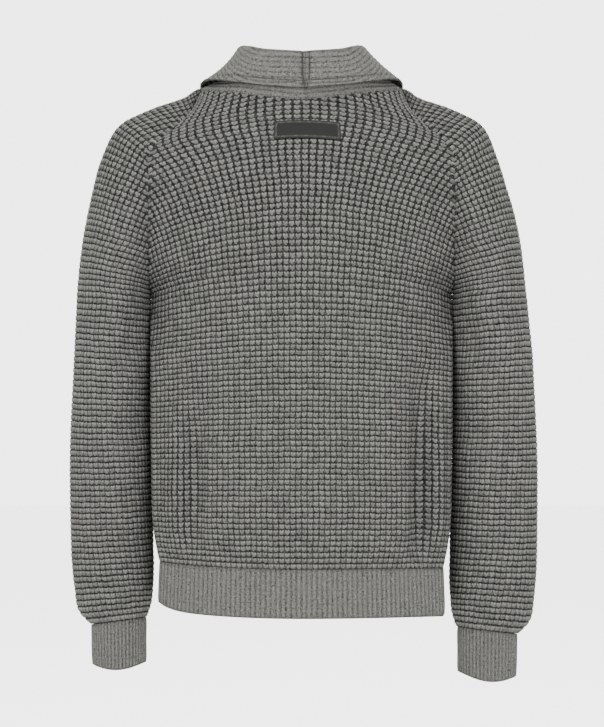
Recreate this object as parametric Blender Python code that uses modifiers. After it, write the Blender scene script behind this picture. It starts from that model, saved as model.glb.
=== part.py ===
"""A shawl collar cardigan in heavy waffle knit, filled out as it is worn, with nobody in it.

Lengths in the tables are millimetres. The origin lies at the base of the neck, between the
shoulders. The front faces -Y, and the wearer's left is +X.

Each panel is a surface with two parameters. One counts knitted rows upwards, and the other runs
across the panel, so every edge of a panel follows the same rows as its neighbour's edge.
"""
import math

import bpy
import numpy as np

MM = 0.001

# cloth
WAFFLE_THICKNESS = 3.0
RIB_THICKNESS = 2.6
RIB_RELIEF = 0.8
SEAM_GAP = 0.3
NECK_GAP = 0.9          # at the collar's seam, where the walls meet at an angle
CORNER_GAP = 0.7        # added at the front corner of the saddle, station 3
CORNER_SPREAD = 0.6
UNDERCUT = 1.6          # the inside of a wall stops this much further from its seam
ARCH_START = 0.45       # share of the half width over which a row stays level before it droops

# the panels' half widths, or the fronts' whole width
BACK_HALF = 200.0
FRONT_HALF = 240.0
SLEEVE_HALF = 180.0

# rows of knitting, counted from the top of the hem rib or of the cuff
UNDERARM_ROW = 52.0
BACK_NECK_ROW = 82.2
SHOULDER_NECK_ROW = 94.0
SLEEVE_UNDERARM_ROW = 58.0
SLEEVE_ROWS_AHEAD = SLEEVE_UNDERARM_ROW - UNDERARM_ROW
SLEEVE_NECK_ROW = SHOULDER_NECK_ROW + SLEEVE_ROWS_AHEAD
NECK_CURVE = 1.6        # power of the back neckline's rise from its middle to the shoulder
FRONT_TIP_ROW = 93.4    # the front panel ends here, where its neck edge meets the sleeve
BREAK_ROW = 50.0        # the collar's roll ends here, and the band goes on down
LOWER_ROWS = (0, 3, 6.5, 13, 20, 27, 34, 41, 47)
ARMHOLE_ROWS = np.linspace(UNDERARM_ROW, SHOULDER_NECK_ROW, 11)

# ribs
RIB_PITCH = 6.1
HEM_RIBS_BACK = 62
HEM_RIBS_FRONT = 40
CUFF_RIBS = 46
HEM_HEIGHT_SIDE = 51.0
HEM_HEIGHT_BACK = 59.5
HEM_STEP = 0.5          # how far the rib lies inside the panel's own surface at its top
HEM_CORNER = 8          # power of the hem's rise towards the left side seam
HEM_TAPER = -1.6
HEM_RADIUS = 140.0
CUFF_GAP = 0.4          # between the sleeve and its cuff
CUFF_HEIGHT = 58.0
CUFF_INSET = {"left": 0.97, "right": 0.95}      # the cuff's width as a share of the sleeve's end
CUFF_LEAN = 6.5         # the cuff's lower end lies this much further forward

# collar and bands
COLLAR_THICKNESS = 3.2
COLLAR_RIB_RELIEF = 0.5
FOLD_RADIUS = 4.3
COLLAR_SEAM = -0.03     # the collar's centre back seam, as a share of the back neck's half width
BAND_WIDTH = 39.0
FREE_EDGE = 1.0         # the least cloth beyond the fold
EDGE_STEP = 0.2         # spacing of the points that are left over at the collar's free edge

# how far one band lies in front of the other, and how wide the fronts follow it
LAP = 2.9
LAP_FULL = 32.0
LAP_FADE = 85.0

# buttons
BUTTON_HEIGHTS = (-262, -346, -430, -514, -598)
BAND_MIDDLE = 19.5      # from the band's seam
BUTTON_RADIUS = 11.0
BUTTON_THICKNESS = 4.0
BUTTON_DISH = 1.3
BUTTON_RIM = 2.6

# woven tab under the back neck
TAB_MIDDLE = -7.0
TAB_WIDTH = 80.0
TAB_ROWS = (74.1, 77.6)
TAB_THICKNESS = 1.2


def table(columns, rows):
    """Turn rows of numbers into a dictionary with one array for each named column."""
    return dict(zip(columns, np.array(rows, dtype=float).T))


# the side seam from the hem rib to the underarm. It lies behind the body's widest line.
SAG_RIGHT = 8.0         # the right side seam hangs this much lower at the hem
SAG_ROWS = 34.0         # and level with the left again this many rows up
SIDE = table(
    ("row", "x", "y", "z"), (
        (0, 173.4, 34, -574),
        (4, 178.4, 36, -549),
        (20, 183.0, 38, -447),
        (35, 184.0, 38, -352),
        (44, 186.0, 27, -295),
        (52, 187.7, 0, -243),
    ))

# the middle line of the back, carried on above the neck so that the rows stay parallel there,
# and the angle that a row turns through from the middle to the seam
BACK = table(
    ("row", "y", "z", "turn"), (
        (0, 104, -577, 56),
        (4, 110, -549, 54),
        (20, 105, -442, 52),
        (35, 103, -340, 52),
        (44, 104, -278, 60),
        (52, 108, -218, 70),
        (62, 110, -143, 66),
        (72, 104, -72, 60),
        (78, 92.5, -34, 56),
        (82.2, 82, -9, 54),
        (88, 76, 32, 58),
        (94, 72, 76, 88),
    ))
BACK_SQUARENESS = 0.0   # how much fuller than an ellipse the rows are
FRONT_SQUARENESS = 0.035

# the middle line of the fronts, and the angle round the ring at which their front edge lies
FRONT = table(
    ("row", "y", "z", "turn", "edge"), (
        (0, -106, -576, 103, 6.2),
        (4, -112, -550, 103, 6.2),
        (20, -108, -443, 103, 6.0),
        (35, -110, -342, 103, 6.0),
        (44, -114, -280, 99, 6.0),
        (52, -117.5, -226, 90, 6.4),
        (62, -118, -152, 80, 11.0),
        (72, -111, -84, 70, 19.5),
        (78, -102, -46, 66, 27.5),
        (86, -86, 0, 66, 41.5),
        (90, -76.5, 22, 69, 54.0),
        (94, -66, 44, 72, 72.0),
    ))

# the left sleeve: its outer line, the line between its two seams, and how deep it is.
# Below the underarm it is a tube and turns right round, to 180 degrees.
SLEEVE = table(
    ("row", "top_x", "top_y", "top_z", "mid_x", "mid_y", "mid_z",
     "half_x", "half_y", "half_z", "turn"), (
        (0, 266.5, -36, -659, 196.0, -36, -650, 0, 36, 3, 180),
        (2, 281, -35, -644, 191.0, -35, -635, 0, 44, 3, 180),
        (6, 287.5, -32, -613, 187.5, -31, -607, 0, 49, 3, 180),
        (14, 290.5, -25, -553, 187.0, -22, -549, 0, 53, 2, 180),
        (26, 290.5, -15, -466, 188.6, -13, -464, 0, 57, 0, 180),
        (40, 286.5, -9, -364, 188.6, -7, -368, 0, 63, 0, 180),
        (50, 283, -7, -291, 188.4, -3, -299, 0, 68, 0, 180),
        (58, 279, -5, -232, 188.4, 0, -243, 0, 71, 1, 180),
        (62, 276, -5, -202, 188.4, 0, -222, 0, 70, 1, 152),
        (67, 270.5, -4, -164, 188.2, 0, -190, 0, 69, 2, 137),
        (73, 262, -4, -120, 188.0, 0, -150, 0, 66, 3, 124),
        (79, 249.5, -3, -74, 187.2, 0, -108, 0, 62, 4, 107),
        (84, 229, -3, -36, 182.6, -1, -76, 2, 61, 6, 92),
        (89, 192, -5, -15, 158.5, -7, -47, 2, 63, 5, 68),
        (95, 144.5, -14, 3.5, 134.5, -14, -21, 2, 63, 5, 50),
        (98, 132.5, -26, 13.5, 125.0, -25, -3, 6, 43, 8, 42),
        (100, 121, -35, 17, 118.0, -35, 7.5, 8, 31, 12, 42),
    ))

# how the sleeves differ from the left one: extra width at the outside below the underarm and
# near the cuff, less width at the cap, and extra length below
SLEEVE_FIT = {
    "left": {"widen": 0.0, "flare": 0.0, "flatten": 0.0, "lengthen": 0.0},
    "right": {"widen": 5.0, "flare": 3.0, "flatten": 5.0, "lengthen": 12.0},
}
CAP_ROW = 78.0
CAP_ROWS = 7.0

# the collar's fold line, by station: 0 is the centre back, 2 the back of the saddle, 3 its front,
# and 7.4 the place where the roll has run out and the band goes on
COLLAR_FOLD = table(
    ("station", "x", "y", "z"), (
        (0.0, 0, 87, 46),
        (0.58, 45, 84, 49.5),
        (1.03, 62, 69, 54),
        (1.46, 70, 42, 56.5),
        (1.84, 73, 12, 57),
        (2.0, 73, -12, 56),
        (2.5, 73, -36, 53),
        (3.0, 73, -57, 46),
        (3.77, 69, -86, 22),
        (4.2, 63, -101, 0),
        (4.63, 56, -112, -28),
        (5.06, 44, -119, -56),
        (5.49, 31, -123, -88),
        (5.91, 17, -123, -122),
        (6.34, 3, -120, -158),
        (6.77, -9, -117.8, -193),
        (7.2, -15.5, -117, -225),
    ))

# from the fold to the free edge. The right half's fall ends higher, where it passes under the left
COLLAR_FALL_COLUMNS = ("station", "x", "y", "z")
COLLAR_FALL_BACK = (
    (0.0, 0, 4, -41),
    (0.58, 11, 5, -40.5),
    (1.03, 28, 9, -39),
    (1.46, 44, 11, -36),
    (1.84, 52, 4, -35),
    (2.0, 54, 0, -33),
    (2.5, 56, -2, -32.5),
    (3.0, 58, -7, -38),
)

# how far the collar's rise is hollowed towards the neck, where it turns up from the shoulder
COLLAR_HOLLOW = table(
    ("station", "left", "right"), (
        (0.0, 0, 0),
        (0.6, 0, 0),
        (1.1, 2, 1),
        (1.5, 5, 2),
        (2.0, 6, 2.5),
        (2.6, 5, 2),
        (3.4, 2, 1),
        (4.2, 0, 0),
        (13.0, 0, 0),
    ))
COLLAR_FALL = {
    "left": table(COLLAR_FALL_COLUMNS, COLLAR_FALL_BACK + (
        (3.77, 59, -11, -47),
        (4.2, 57, -10, -51),
        (4.63, 55, -8, -54),
        (5.06, 52, -6, -55),
        (5.49, 48, -7, -51),
        (5.91, 41, -9, -43),
        (6.34, 32, -10, -31),
        (6.77, 20, -9, -15),
        (7.2, 7, -8, -4),
        (7.4, 2, -5, -1),
    )),
    "right": table(COLLAR_FALL_COLUMNS, COLLAR_FALL_BACK + (
        (3.77, 57, -11, -45),
        (4.2, 52, -10, -46),
        (4.63, 46, -9, -44),
        (5.06, 36, -8, -36),
        (5.49, 20, -8, -20),
        (5.91, 5, -6, -4),
        (6.34, 2, -5, -1),
    )),
}
FALL_GONE = {"left": 7.2, "right": 5.91}
FALL_FADE = 0.28        # stations over which the last of the roll opens out flat

# where the stations lie, as shares of the back neck, stations on the saddle, and front rows
COLLAR_BACK_SHARES = (0.14, 0.37, 0.5, 0.63, 0.77, 0.92, 1.0)
COLLAR_SADDLE_STATIONS = (2.5, 2.75)
COLLAR_BAND_ROWS = (49, 27, 13, 3, 0)

# soft vertical troughs in the lower back, where the hem rib draws the cloth in
BACK_FOLDS = table(
    ("x", "lean", "width", "depth", "bottom_row", "top_row"), (
        (134, -0.01, 13, 6.0, 0, 34),
        (-150, 0.01, 15, 9.0, 0, 40),
        (62, 0.10, 26, 2.5, 2, 22),
        (-78, -0.08, 24, 2.0, 2, 18),
    ))

# shallow creases across the sleeves: row, angle round the sleeve, and their size
SLEEVE_FOLDS = table(
    ("row", "slant", "angle", "spread", "height", "depth"), (
        (5, 2, 60, 70, 2.0, 3.0),
        (10, -3, -40, 60, 3.0, 2.5),
        (32, 6, 110, 55, 4.5, 4.0),
        (39, 5, -120, 50, 4.0, 4.0),
        (50, 8, 125, 45, 5.0, 4.5),
    ))


def along(data, column, at):
    """Read a column at any row number, on a smooth curve through the table's own rows."""
    knots = data[next(iter(data))]
    values = data[column]
    at = np.clip(at, knots[0], knots[-1])
    slopes = np.gradient(values, knots)
    left = np.clip(np.searchsorted(knots, at, side="right") - 1, 0, len(knots) - 2)
    width = knots[left + 1] - knots[left]
    t = (at - knots[left]) / width
    start = (1 + 2 * t) * (1 - t) ** 2 * values[left] + t * (1 - t) ** 2 * width * slopes[left]
    end = t * t * (3 - 2 * t) * values[left + 1] - t * t * (1 - t) * width * slopes[left + 1]
    return start + end


def points(x, y, z):
    """Join three coordinate arrays into one array of points."""
    return np.stack(np.broadcast_arrays(x, y, z), axis=-1)


def unit(vectors):
    """Scale vectors to length one."""
    return vectors / np.linalg.norm(vectors, axis=-1, keepdims=True)


def sign_of(side):
    """+1 for the wearer's left, -1 for the right."""
    return 1.0 if side == "left" else -1.0


def across(angle, square):
    """Share of a ring's half width at an angle from its middle."""
    return (np.sin(angle) + square * np.sin(3 * angle)) / (1 - square)


def deep(angle, square):
    """Share of a ring's depth at an angle from its middle."""
    return (np.cos(angle) - square * np.cos(3 * angle)) / (1 - square)


def droop(share):
    """How far a row has dropped from its middle to its end: level first, then a straight slope."""
    full = math.hypot(1.0, ARCH_START) - ARCH_START
    return (np.hypot(share, ARCH_START) - ARCH_START) / full


def sleeve_point(share, row, side):
    """A point on a sleeve. share is -1 at the front seam, 0 on the outer line, 1 at the back."""
    angle = share * np.radians(along(SLEEVE, "turn", row))
    reach = (1 - np.cos(angle)) / (1 - np.cos(np.radians(along(SLEEVE, "turn", row))))
    fit = SLEEVE_FIT[side]
    low = np.clip((SLEEVE_UNDERARM_ROW - row) / SLEEVE_UNDERARM_ROW, 0, 1)
    place = {}
    for axis in "xyz":
        top = along(SLEEVE, "top_" + axis, row)
        mid = along(SLEEVE, "mid_" + axis, row)
        half = along(SLEEVE, "half_" + axis, row)
        place[axis] = top + (mid - top) * reach + half * np.sin(angle)
    widen = fit["widen"] * np.clip(low * 5, 0, 1) + fit["flare"] * low ** 3
    widen = widen - fit["flatten"] * np.exp(-((row - CAP_ROW) / CAP_ROWS) ** 2)
    x = place["x"] + widen * (1 - reach)
    z = place["z"] - fit["lengthen"] * low
    dent = 0.0
    degrees = np.degrees(angle)
    for k in range(len(SLEEVE_FOLDS["row"])):
        fold = {name: values[k] for name, values in SLEEVE_FOLDS.items()}
        turn = (degrees - fold["angle"]) / fold["spread"]
        rise = (row - fold["row"] - fold["slant"] * turn) / fold["height"]
        dent = dent + fold["depth"] * np.exp(-turn ** 2 - rise ** 2)
    centre_x = (along(SLEEVE, "top_x", row) + along(SLEEVE, "mid_x", row)) / 2
    away = np.hypot(x - centre_x, place["y"] - along(SLEEVE, "mid_y", row))
    x = x - dent * (x - centre_x) / away
    y = place["y"] - dent * (place["y"] - along(SLEEVE, "mid_y", row)) / away
    return points(x * sign_of(side), y, z)


def seam_point(row, end):
    """The body's outer edge: the side seam, and above it the sleeve's back or front seam."""
    lower = np.stack([along(SIDE, axis, row) for axis in "xyz"], axis=-1)
    on_sleeve = sleeve_point(end, np.maximum(row, UNDERARM_ROW) + SLEEVE_ROWS_AHEAD, "left")
    on_sleeve = on_sleeve + np.array([-0.6, 0.35 * end, -0.35])
    return np.where((row < UNDERARM_ROW)[..., None], lower, on_sleeve)


def body_ring(share, row, data, end, square, right):
    """A point on a body row, at a share of the angle from the middle to the seam.

    right is true where the point lies on the wearer's right.
    """
    seam = seam_point(row, end)
    turn = np.radians(along(data, "turn", row))
    angle = share * turn
    x = seam[..., 0] * across(angle, square) / across(turn, square)
    depth = (deep(angle, square) - deep(turn, square)) / (1 - deep(turn, square))
    y = seam[..., 1] + (along(data, "y", row) - seam[..., 1]) * depth
    middle = along(data, "z", row)
    z = middle + (seam[..., 2] - middle) * droop(share)
    low = np.clip(1 - row / SAG_ROWS, 0, 1)
    return x, y, z - SAG_RIGHT * right * low * low * share ** 2


def back_point(share, row):
    """A point on the back. share is 0 at the middle and +1 at the wearer's left seam."""
    x, y, z = body_ring(np.abs(share), row, BACK, 1.0, BACK_SQUARENESS, share < 0)
    x = x * np.sign(share)
    for k in range(len(BACK_FOLDS["x"])):
        fold = {name: values[k] for name, values in BACK_FOLDS.items()}
        centre = fold["x"] + fold["lean"] * fold["x"] * (row - fold["bottom_row"]) / 10
        rise = np.clip((row - fold["bottom_row"]) / 5, 0, 1)
        fade = np.clip((fold["top_row"] - row) / 12, 0, 1)
        trough = np.exp(-((x - centre) / fold["width"]) ** 2)
        trough = trough * np.clip((1 - np.abs(share)) / 0.2, 0, 1)
        y = y - fold["depth"] * trough * rise * fade * fade * (3 - 2 * fade)
    return points(x, y, z)


def back_neck_row(share):
    """The row at which the back neckline crosses the back, at a share of the half width."""
    return BACK_NECK_ROW + (SHOULDER_NECK_ROW - BACK_NECK_ROW) * np.abs(share) ** NECK_CURVE


def lap_shift(x, side):
    """How far a front lies forward of the middle surface, so that the bands pass each other."""
    fade = np.clip((LAP_FADE - np.abs(x)) / (LAP_FADE - LAP_FULL), 0, 1)
    return -LAP * sign_of(side) * fade * fade * (3 - 2 * fade)


def front_point(share, row, side):
    """A point on a front. share is 0 at its front edge and 1 at its side or sleeve seam."""
    edge = along(FRONT, "edge", row) / along(FRONT, "turn", row)
    x, y, z = body_ring(edge + (1 - edge) * share, row, FRONT, -1.0, FRONT_SQUARENESS,
                        side == "right")
    return points(x * sign_of(side), y + lap_shift(x, side), z)


def hem_point(share, drop, part):
    """A point on the hem rib. share is the panel's own above it, drop is 0 at the rib's top."""
    longer = HEM_HEIGHT_BACK - HEM_HEIGHT_SIDE
    if part == "back":
        top = back_point(share, np.zeros_like(share))
        height = HEM_HEIGHT_BACK - longer * np.clip(share, 0, 1) ** HEM_CORNER
    else:
        top = front_point(share, np.zeros_like(share), part)
        height = HEM_HEIGHT_SIDE + longer * (part == "right") * np.clip(share, 0, 1) ** 4
    inset = 1 - (HEM_STEP + HEM_TAPER * drop) / HEM_RADIUS
    z = top[..., 2] - SEAM_GAP - (height - SEAM_GAP) * drop
    return points(top[..., 0] * inset, top[..., 1] * inset, z)


def cuff_point(angle, drop, side):
    """A point on a cuff. angle runs round it, drop is 0 at its top."""
    edge = sleeve_point(angle / math.pi, np.zeros_like(angle), side)
    centre = (sleeve_point(0.0, np.array(0.0), side) + sleeve_point(1.0, np.array(0.0), side)) / 2
    inset = CUFF_INSET[side] - 0.015 * drop
    x = centre[0] + (edge[..., 0] - centre[0]) * inset
    y = centre[1] + (edge[..., 1] - centre[1]) * inset - CUFF_LEAN * drop
    z = edge[..., 2] - CUFF_GAP - (CUFF_HEIGHT - CUFF_GAP) * drop
    return points(x, y, z)


def neckline(side):
    """The collar's seam line, from the centre back to the hem, with its station numbers."""
    sign = sign_of(side)
    share = np.linspace(COLLAR_SEAM * sign, 1.0, 40)
    back = back_point(share * sign, back_neck_row(share))
    back[:, 0] *= sign
    saddle = sleeve_point(np.linspace(0.9, -0.9, 12), np.full(12, SLEEVE_NECK_ROW), "left")
    rows = np.linspace(FRONT_TIP_ROW, 0.0, 90)
    front = front_point(np.zeros(90), rows, side)
    front[:, 0] *= sign
    drop = np.linspace(0.05, 1.0, 12)
    hem = hem_point(np.zeros(12), drop, side)
    hem[:, 0] *= sign
    stations = np.concatenate([
        back_station(share, sign),
        np.linspace(2.05, 2.95, 12),
        front_station(rows),
        12 + drop,
    ])
    return stations, np.concatenate([back, saddle, front, hem])


def back_station(share, sign):
    """The station number at a share of the back neck."""
    start = COLLAR_SEAM * sign
    return 2 * (share - start) / (1 - start)


def front_station(row):
    """The station number at a row of the front's edge."""
    return np.interp(row, [0, BREAK_ROW, FRONT_TIP_ROW], [12, 7.4, 3.0])


def collar_stations(side):
    """The stations at which the collar and band have their points, which are the panels' own."""
    return np.concatenate([
        [0], back_station(np.array(COLLAR_BACK_SHARES), sign_of(side)), COLLAR_SADDLE_STATIONS,
        front_station(np.concatenate([[FRONT_TIP_ROW], ARMHOLE_ROWS[-2::-1], COLLAR_BAND_ROWS])),
        [13]])


def collar_frame(station, side, seam):
    """The collar's cross section at a station: its seam, the two directions of its plane, the
    length of the stand, the angle that the fold turns and the length of the fall.
    """
    stations, line = seam
    start = np.stack([np.interp(station, stations, line[:, k]) for k in range(3)], axis=-1)
    fold = np.stack([along(COLLAR_FOLD, axis, station) for axis in "xyz"], axis=-1)
    fold[..., 0] += line[0, 0] * np.clip(1 - station, 0, 1)
    fold[..., 1] += lap_shift(fold[..., 0], side)
    band = np.clip((station - COLLAR_FOLD["station"][-1]) / 0.2, 0, 1)[..., None]
    fold = fold * (1 - band) + (start - np.array([BAND_WIDTH, 0, 0])) * band
    fall = np.stack([along(COLLAR_FALL[side], axis, station) for axis in "xyz"], axis=-1)
    up = unit(fold - start)
    edge = fold + fall - start
    along_up = np.sum(edge * up, axis=-1)
    out = edge - up * along_up[..., None]
    aside = np.linalg.norm(out, axis=-1)
    rolled = np.clip((FALL_GONE[side] - station) / FALL_FADE + 1, 0, 1)
    radius = FOLD_RADIUS * rolled
    stand = np.linalg.norm(fold - start, axis=-1) - radius
    reach = np.maximum(np.hypot(along_up - stand, aside - radius), radius + 0.01)
    turn = np.arctan2(aside - radius, along_up - stand) + np.arcsin(radius / reach)
    turn = turn * rolled
    fall = np.sqrt(reach ** 2 - radius ** 2) * rolled + FREE_EDGE
    return start, up, unit(out), stand, turn, fall


def collar_point(station, length, side, seam):
    """A point on the collar or band: length is measured across it from its seam.

    The cloth leaves the seam straight, turns round an arc at the fold, and goes on straight.
    Returns the point and the direction of the cloth's face.
    """
    start, up, out, stand, turn, _ = collar_frame(station, side, seam)
    on_arc = np.clip((length - stand) / FOLD_RADIUS, 0, turn)
    beyond = np.maximum(length - stand - FOLD_RADIUS * turn, 0)
    run = np.minimum(length, stand) + FOLD_RADIUS * np.sin(on_arc) + beyond * np.cos(turn)
    lift = FOLD_RADIUS * (1 - np.cos(on_arc)) + beyond * np.sin(turn)
    rise = np.clip(run / (stand + FOLD_RADIUS), 0, 1)
    hollow = np.interp(station, COLLAR_HOLLOW["station"], COLLAR_HOLLOW[side])
    lift = lift - hollow * 4 * rise * (1 - rise) - WAFFLE_THICKNESS / 2
    gap = NECK_GAP + CORNER_GAP * np.exp(-((station - 3) / CORNER_SPREAD) ** 2)
    place = start + up * (run + gap)[..., None] + out * lift[..., None]
    face = out * np.cos(on_arc)[..., None] - up * np.sin(on_arc)[..., None]
    flip = np.array([sign_of(side), 1, 1])
    return place * flip, face * flip


def collar_width(station, side, seam):
    """The cloth's whole length across the collar at a station."""
    _, _, _, stand, turn, fall = collar_frame(station, side, seam)
    return stand + FOLD_RADIUS * turn + fall


def material(name, colour, roughness):
    """A plain Principled material."""
    made = bpy.data.materials.new(name)
    made.use_nodes = True
    shader = made.node_tree.nodes["Principled BSDF"]
    shader.inputs["Base Color"].default_value = (*colour, 1.0)
    shader.inputs["Roughness"].default_value = roughness
    return made


def add_mesh(name, vertices, faces, look, collection):
    """Make a mesh object from points in millimetres."""
    mesh = bpy.data.meshes.new(name)
    mesh.from_pydata((np.asarray(vertices) * MM).tolist(), [], faces)
    mesh.materials.append(look)
    mesh.shade_smooth()
    mesh.set_sharp_from_angle(angle=math.radians(50))
    made = bpy.data.objects.new(name, mesh)
    collection.objects.link(made)
    return made


def wall(name, outer, inner, look, collection, joined_rows=0, closed=False):
    """Close an outer and an inner grid of points into one solid wall.

    The grids are indexed [across, along]. The inner one may have fewer points across, one for
    every few of the outer. joined_rows is the number of rows, from the first, whose two side
    edges are one and the same, as in a tube. closed joins them all the way.
    """
    joined = outer.shape[1] if closed else joined_rows
    step = (outer.shape[0] - 1) // (inner.shape[0] - 1)
    over = np.arange(outer[..., 0].size).reshape(outer.shape[:2])
    under = over.size + np.arange(inner[..., 0].size).reshape(inner.shape[:2])
    for index in (over, under):
        index[-1, :joined] = index[0, :joined]
    faces = []

    def add(polygons, flip):
        faces.extend((polygons[:, ::-1] if flip else polygons).tolist())

    def skin(index, flip):
        corners = [index[:-1, :-1], index[1:, :-1], index[1:, 1:], index[:-1, 1:]]
        add(np.stack(corners, axis=-1).reshape(-1, 4), flip)

    def rim(fine, coarse, each, flip):
        last = len(fine) - each
        ring = [fine[k:last + k:each] for k in range(each + 1)]
        add(np.stack(ring + [coarse[1:], coarse[:-1]], axis=-1), flip)

    skin(over, False)
    skin(under, True)
    rim(over[:, 0], under[:, 0], step, True)
    rim(over[:, -1], under[:, -1], step, False)
    if not closed:
        first = max(joined - 1, 0)
        rim(over[0, first:], under[0, first:], 1, False)
        rim(over[-1, first:], under[-1, first:], 1, True)
    vertices = np.concatenate([outer.reshape(-1, 3), inner.reshape(-1, 3)])
    used = np.unique(np.concatenate([np.array(face) for face in faces]))
    renumber = np.zeros(len(vertices), dtype=int)
    renumber[used] = np.arange(len(used))
    faces = [[int(renumber[k]) for k in face] for face in faces]
    return add_mesh(name, vertices[used], faces, look, collection)


def outward(surface, a, b, step_a, step_b):
    """The direction that a surface faces at its two parameters, by small differences."""
    along_a = surface(a + step_a, b) - surface(a - step_a, b)
    along_b = surface(a, b + step_b) - surface(a, b - step_b)
    return unit(np.cross(along_a, along_b))


def shrink(values, low, high):
    """Move the first and last of a list of parameters inwards by the two given amounts."""
    moved = np.array(values, dtype=float)
    moved[0] += low
    moved[-1] -= high
    return moved


def panel(name, surface, shares, rows_at, facing, look, collection, across_mm, joined_rows=0):
    """A panel's wall. rows_at gives the row numbers for an array of shares.

    surface is a function of share and row, facing is +1 or -1 for the side that is outside, and
    across_mm the panel's half width, which turns a gap in millimetres into a share.
    """
    def grid(gap):
        side_gap = gap / across_mm
        share = shrink(shares, side_gap, side_gap)[:, None]
        lines = rows_at(share)
        row_gap = gap / 7.0
        lines = lines + np.linspace(row_gap, -row_gap, lines.shape[1])[None, :]
        return np.broadcast_to(share, lines.shape), lines

    share, row = grid(SEAM_GAP / 2)
    outer = surface(share, row)
    share, row = grid(SEAM_GAP / 2 + UNDERCUT)
    if joined_rows:
        share = share.copy()
        share[0, :joined_rows] = -1.0
        share[-1, :joined_rows] = 1.0
    normal = facing * outward(surface, share * 0.998, row, 0.002, 0.05)
    inner = surface(share, row) - WAFFLE_THICKNESS * normal
    if joined_rows:
        inner[0, :joined_rows] = (inner[0, :joined_rows] + inner[-1, :joined_rows]) / 2
    if facing < 0:
        outer, inner = outer[::-1], inner[::-1]
    return wall(name, outer, inner, look, collection, joined_rows)


def level_rows(rows):
    """The same row numbers for every share."""
    return lambda share: np.broadcast_to(rows[None, :], (share.shape[0], len(rows))).copy()


def back_rows(share):
    """Row numbers from the hem rib up to the neckline, the sleeve's own rows at the seam."""
    rows = np.concatenate([LOWER_ROWS, ARMHOLE_ROWS])
    return rows[None, :] * back_neck_row(share) / SHOULDER_NECK_ROW


def even_steps(surface, start, stop, count):
    """Parameters between two ends, spaced so that the points lie evenly along the line."""
    fine = np.linspace(start, stop, 400)
    line = surface(fine)
    length = np.concatenate([[0], np.cumsum(np.linalg.norm(np.diff(line, axis=0), axis=1))])
    return np.interp(np.linspace(0, length[-1], count), length, fine)


def ribbed_wall(name, surface, shares, facing, look, collection, closed):
    """A ribbed ring or part of one: every other point across is raised as a rib."""
    share, drop = np.broadcast_arrays(shares[:, None], np.array([[0.0, 1.0]]))
    normal = facing * outward(surface, share, drop, 0.004, 0.01)
    raised = (np.arange(len(shares)) % 2)[:, None, None] * RIB_RELIEF
    outer = surface(share, drop) + normal * raised
    inner = (surface(share, drop) - normal * RIB_THICKNESS)[::2]
    if not closed:
        inner[0] += UNDERCUT * unit(inner[1] - inner[0])
        inner[-1] += UNDERCUT * unit(inner[-2] - inner[-1])
    if facing < 0:
        outer, inner = outer[::-1], inner[::-1]
    return wall(name, outer, inner, look, collection, closed=closed)


def build_back(look, collection):
    """The back panel."""
    half = (0.0, 0.14, 0.27, 0.37, 0.44, 0.5, 0.56, 0.63, 0.72, 0.82, 0.92, 1.0)
    shares = sorted({-s for s in half} | set(half))
    panel("back", back_point, shares, back_rows, -1, look, collection, BACK_HALF)


def build_front(side, look, collection):
    """One front panel."""
    def surface(share, row):
        return front_point(share, row, side)
    rows = np.concatenate([LOWER_ROWS, ARMHOLE_ROWS[:-1], [FRONT_TIP_ROW]])
    panel("front_" + side, surface, np.linspace(0, 1, 11), level_rows(rows), sign_of(side), look,
          collection, FRONT_HALF)


def build_sleeve(side, look, collection):
    """One sleeve with its saddle."""
    def surface(share, row):
        return sleeve_point(share, row, side)
    upper = np.concatenate([ARMHOLE_ROWS[:-1], [FRONT_TIP_ROW, SHOULDER_NECK_ROW]])
    rows = np.concatenate([[0, 2, 5], np.linspace(9, 53, 8), upper + SLEEVE_ROWS_AHEAD])
    joined = int(np.sum(rows <= SLEEVE_UNDERARM_ROW))
    panel("sleeve_" + side, surface, np.linspace(-1, 1, 17), level_rows(rows), sign_of(side),
          look, collection, SLEEVE_HALF, joined)


def build_hem(part, look, collection):
    """One stretch of the hem rib."""
    def surface(share, drop=0.0):
        return hem_point(share, drop + 0 * share, part)
    gap = SEAM_GAP / 2 / BACK_HALF
    if part == "back":
        shares = even_steps(surface, gap - 1, 1 - gap, 2 * HEM_RIBS_BACK + 1)
        name, facing = "hem_rib_back", -1
    else:
        shares = even_steps(surface, gap, 1 - gap, 2 * HEM_RIBS_FRONT + 1)
        name, facing = "hem_rib_front_" + part, sign_of(part)
    ribbed_wall(name, surface, shares, -facing, look, collection, closed=False)


def build_cuff(side, look, collection):
    """One cuff."""
    def surface(angle, drop=0.0):
        return cuff_point(angle, drop + 0 * angle, side)
    angles = even_steps(surface, -math.pi, math.pi, 2 * CUFF_RIBS + 1)
    ribbed_wall("cuff_" + side, surface, angles, -sign_of(side), look, collection, closed=True)


def build_collar(side, look, collection):
    """One half of the shawl collar, which goes on down the front as the band."""
    stations = collar_stations(side)
    seam = neckline(side)
    widest = collar_width(stations, side, seam).max()
    count = 2 * int(widest / RIB_PITCH) + 1
    wanted = np.arange(count)[None, :] * (RIB_PITCH / 2)
    width = collar_width(stations, side, seam)[:, None]
    left_over = width - (count - 1 - np.arange(count))[None, :] * EDGE_STEP
    length = np.minimum(wanted, left_over)
    gap = np.zeros(len(stations))
    gap[0] = 0.006
    place, face = collar_point((stations + gap)[:, None] + 0 * length, length, side, seam)
    rib = np.where(wanted <= left_over, np.arange(count)[None, :] % 2, 0) * COLLAR_RIB_RELIEF
    push = (COLLAR_THICKNESS / 2 + rib)[..., None] * face
    outer = (place + push).transpose(1, 0, 2)
    inner = (place - push).transpose(1, 0, 2)[::2]
    if side == "right":
        outer, inner = outer[::-1], inner[::-1]
    wall("collar_" + side, outer, inner, look, collection)


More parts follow.
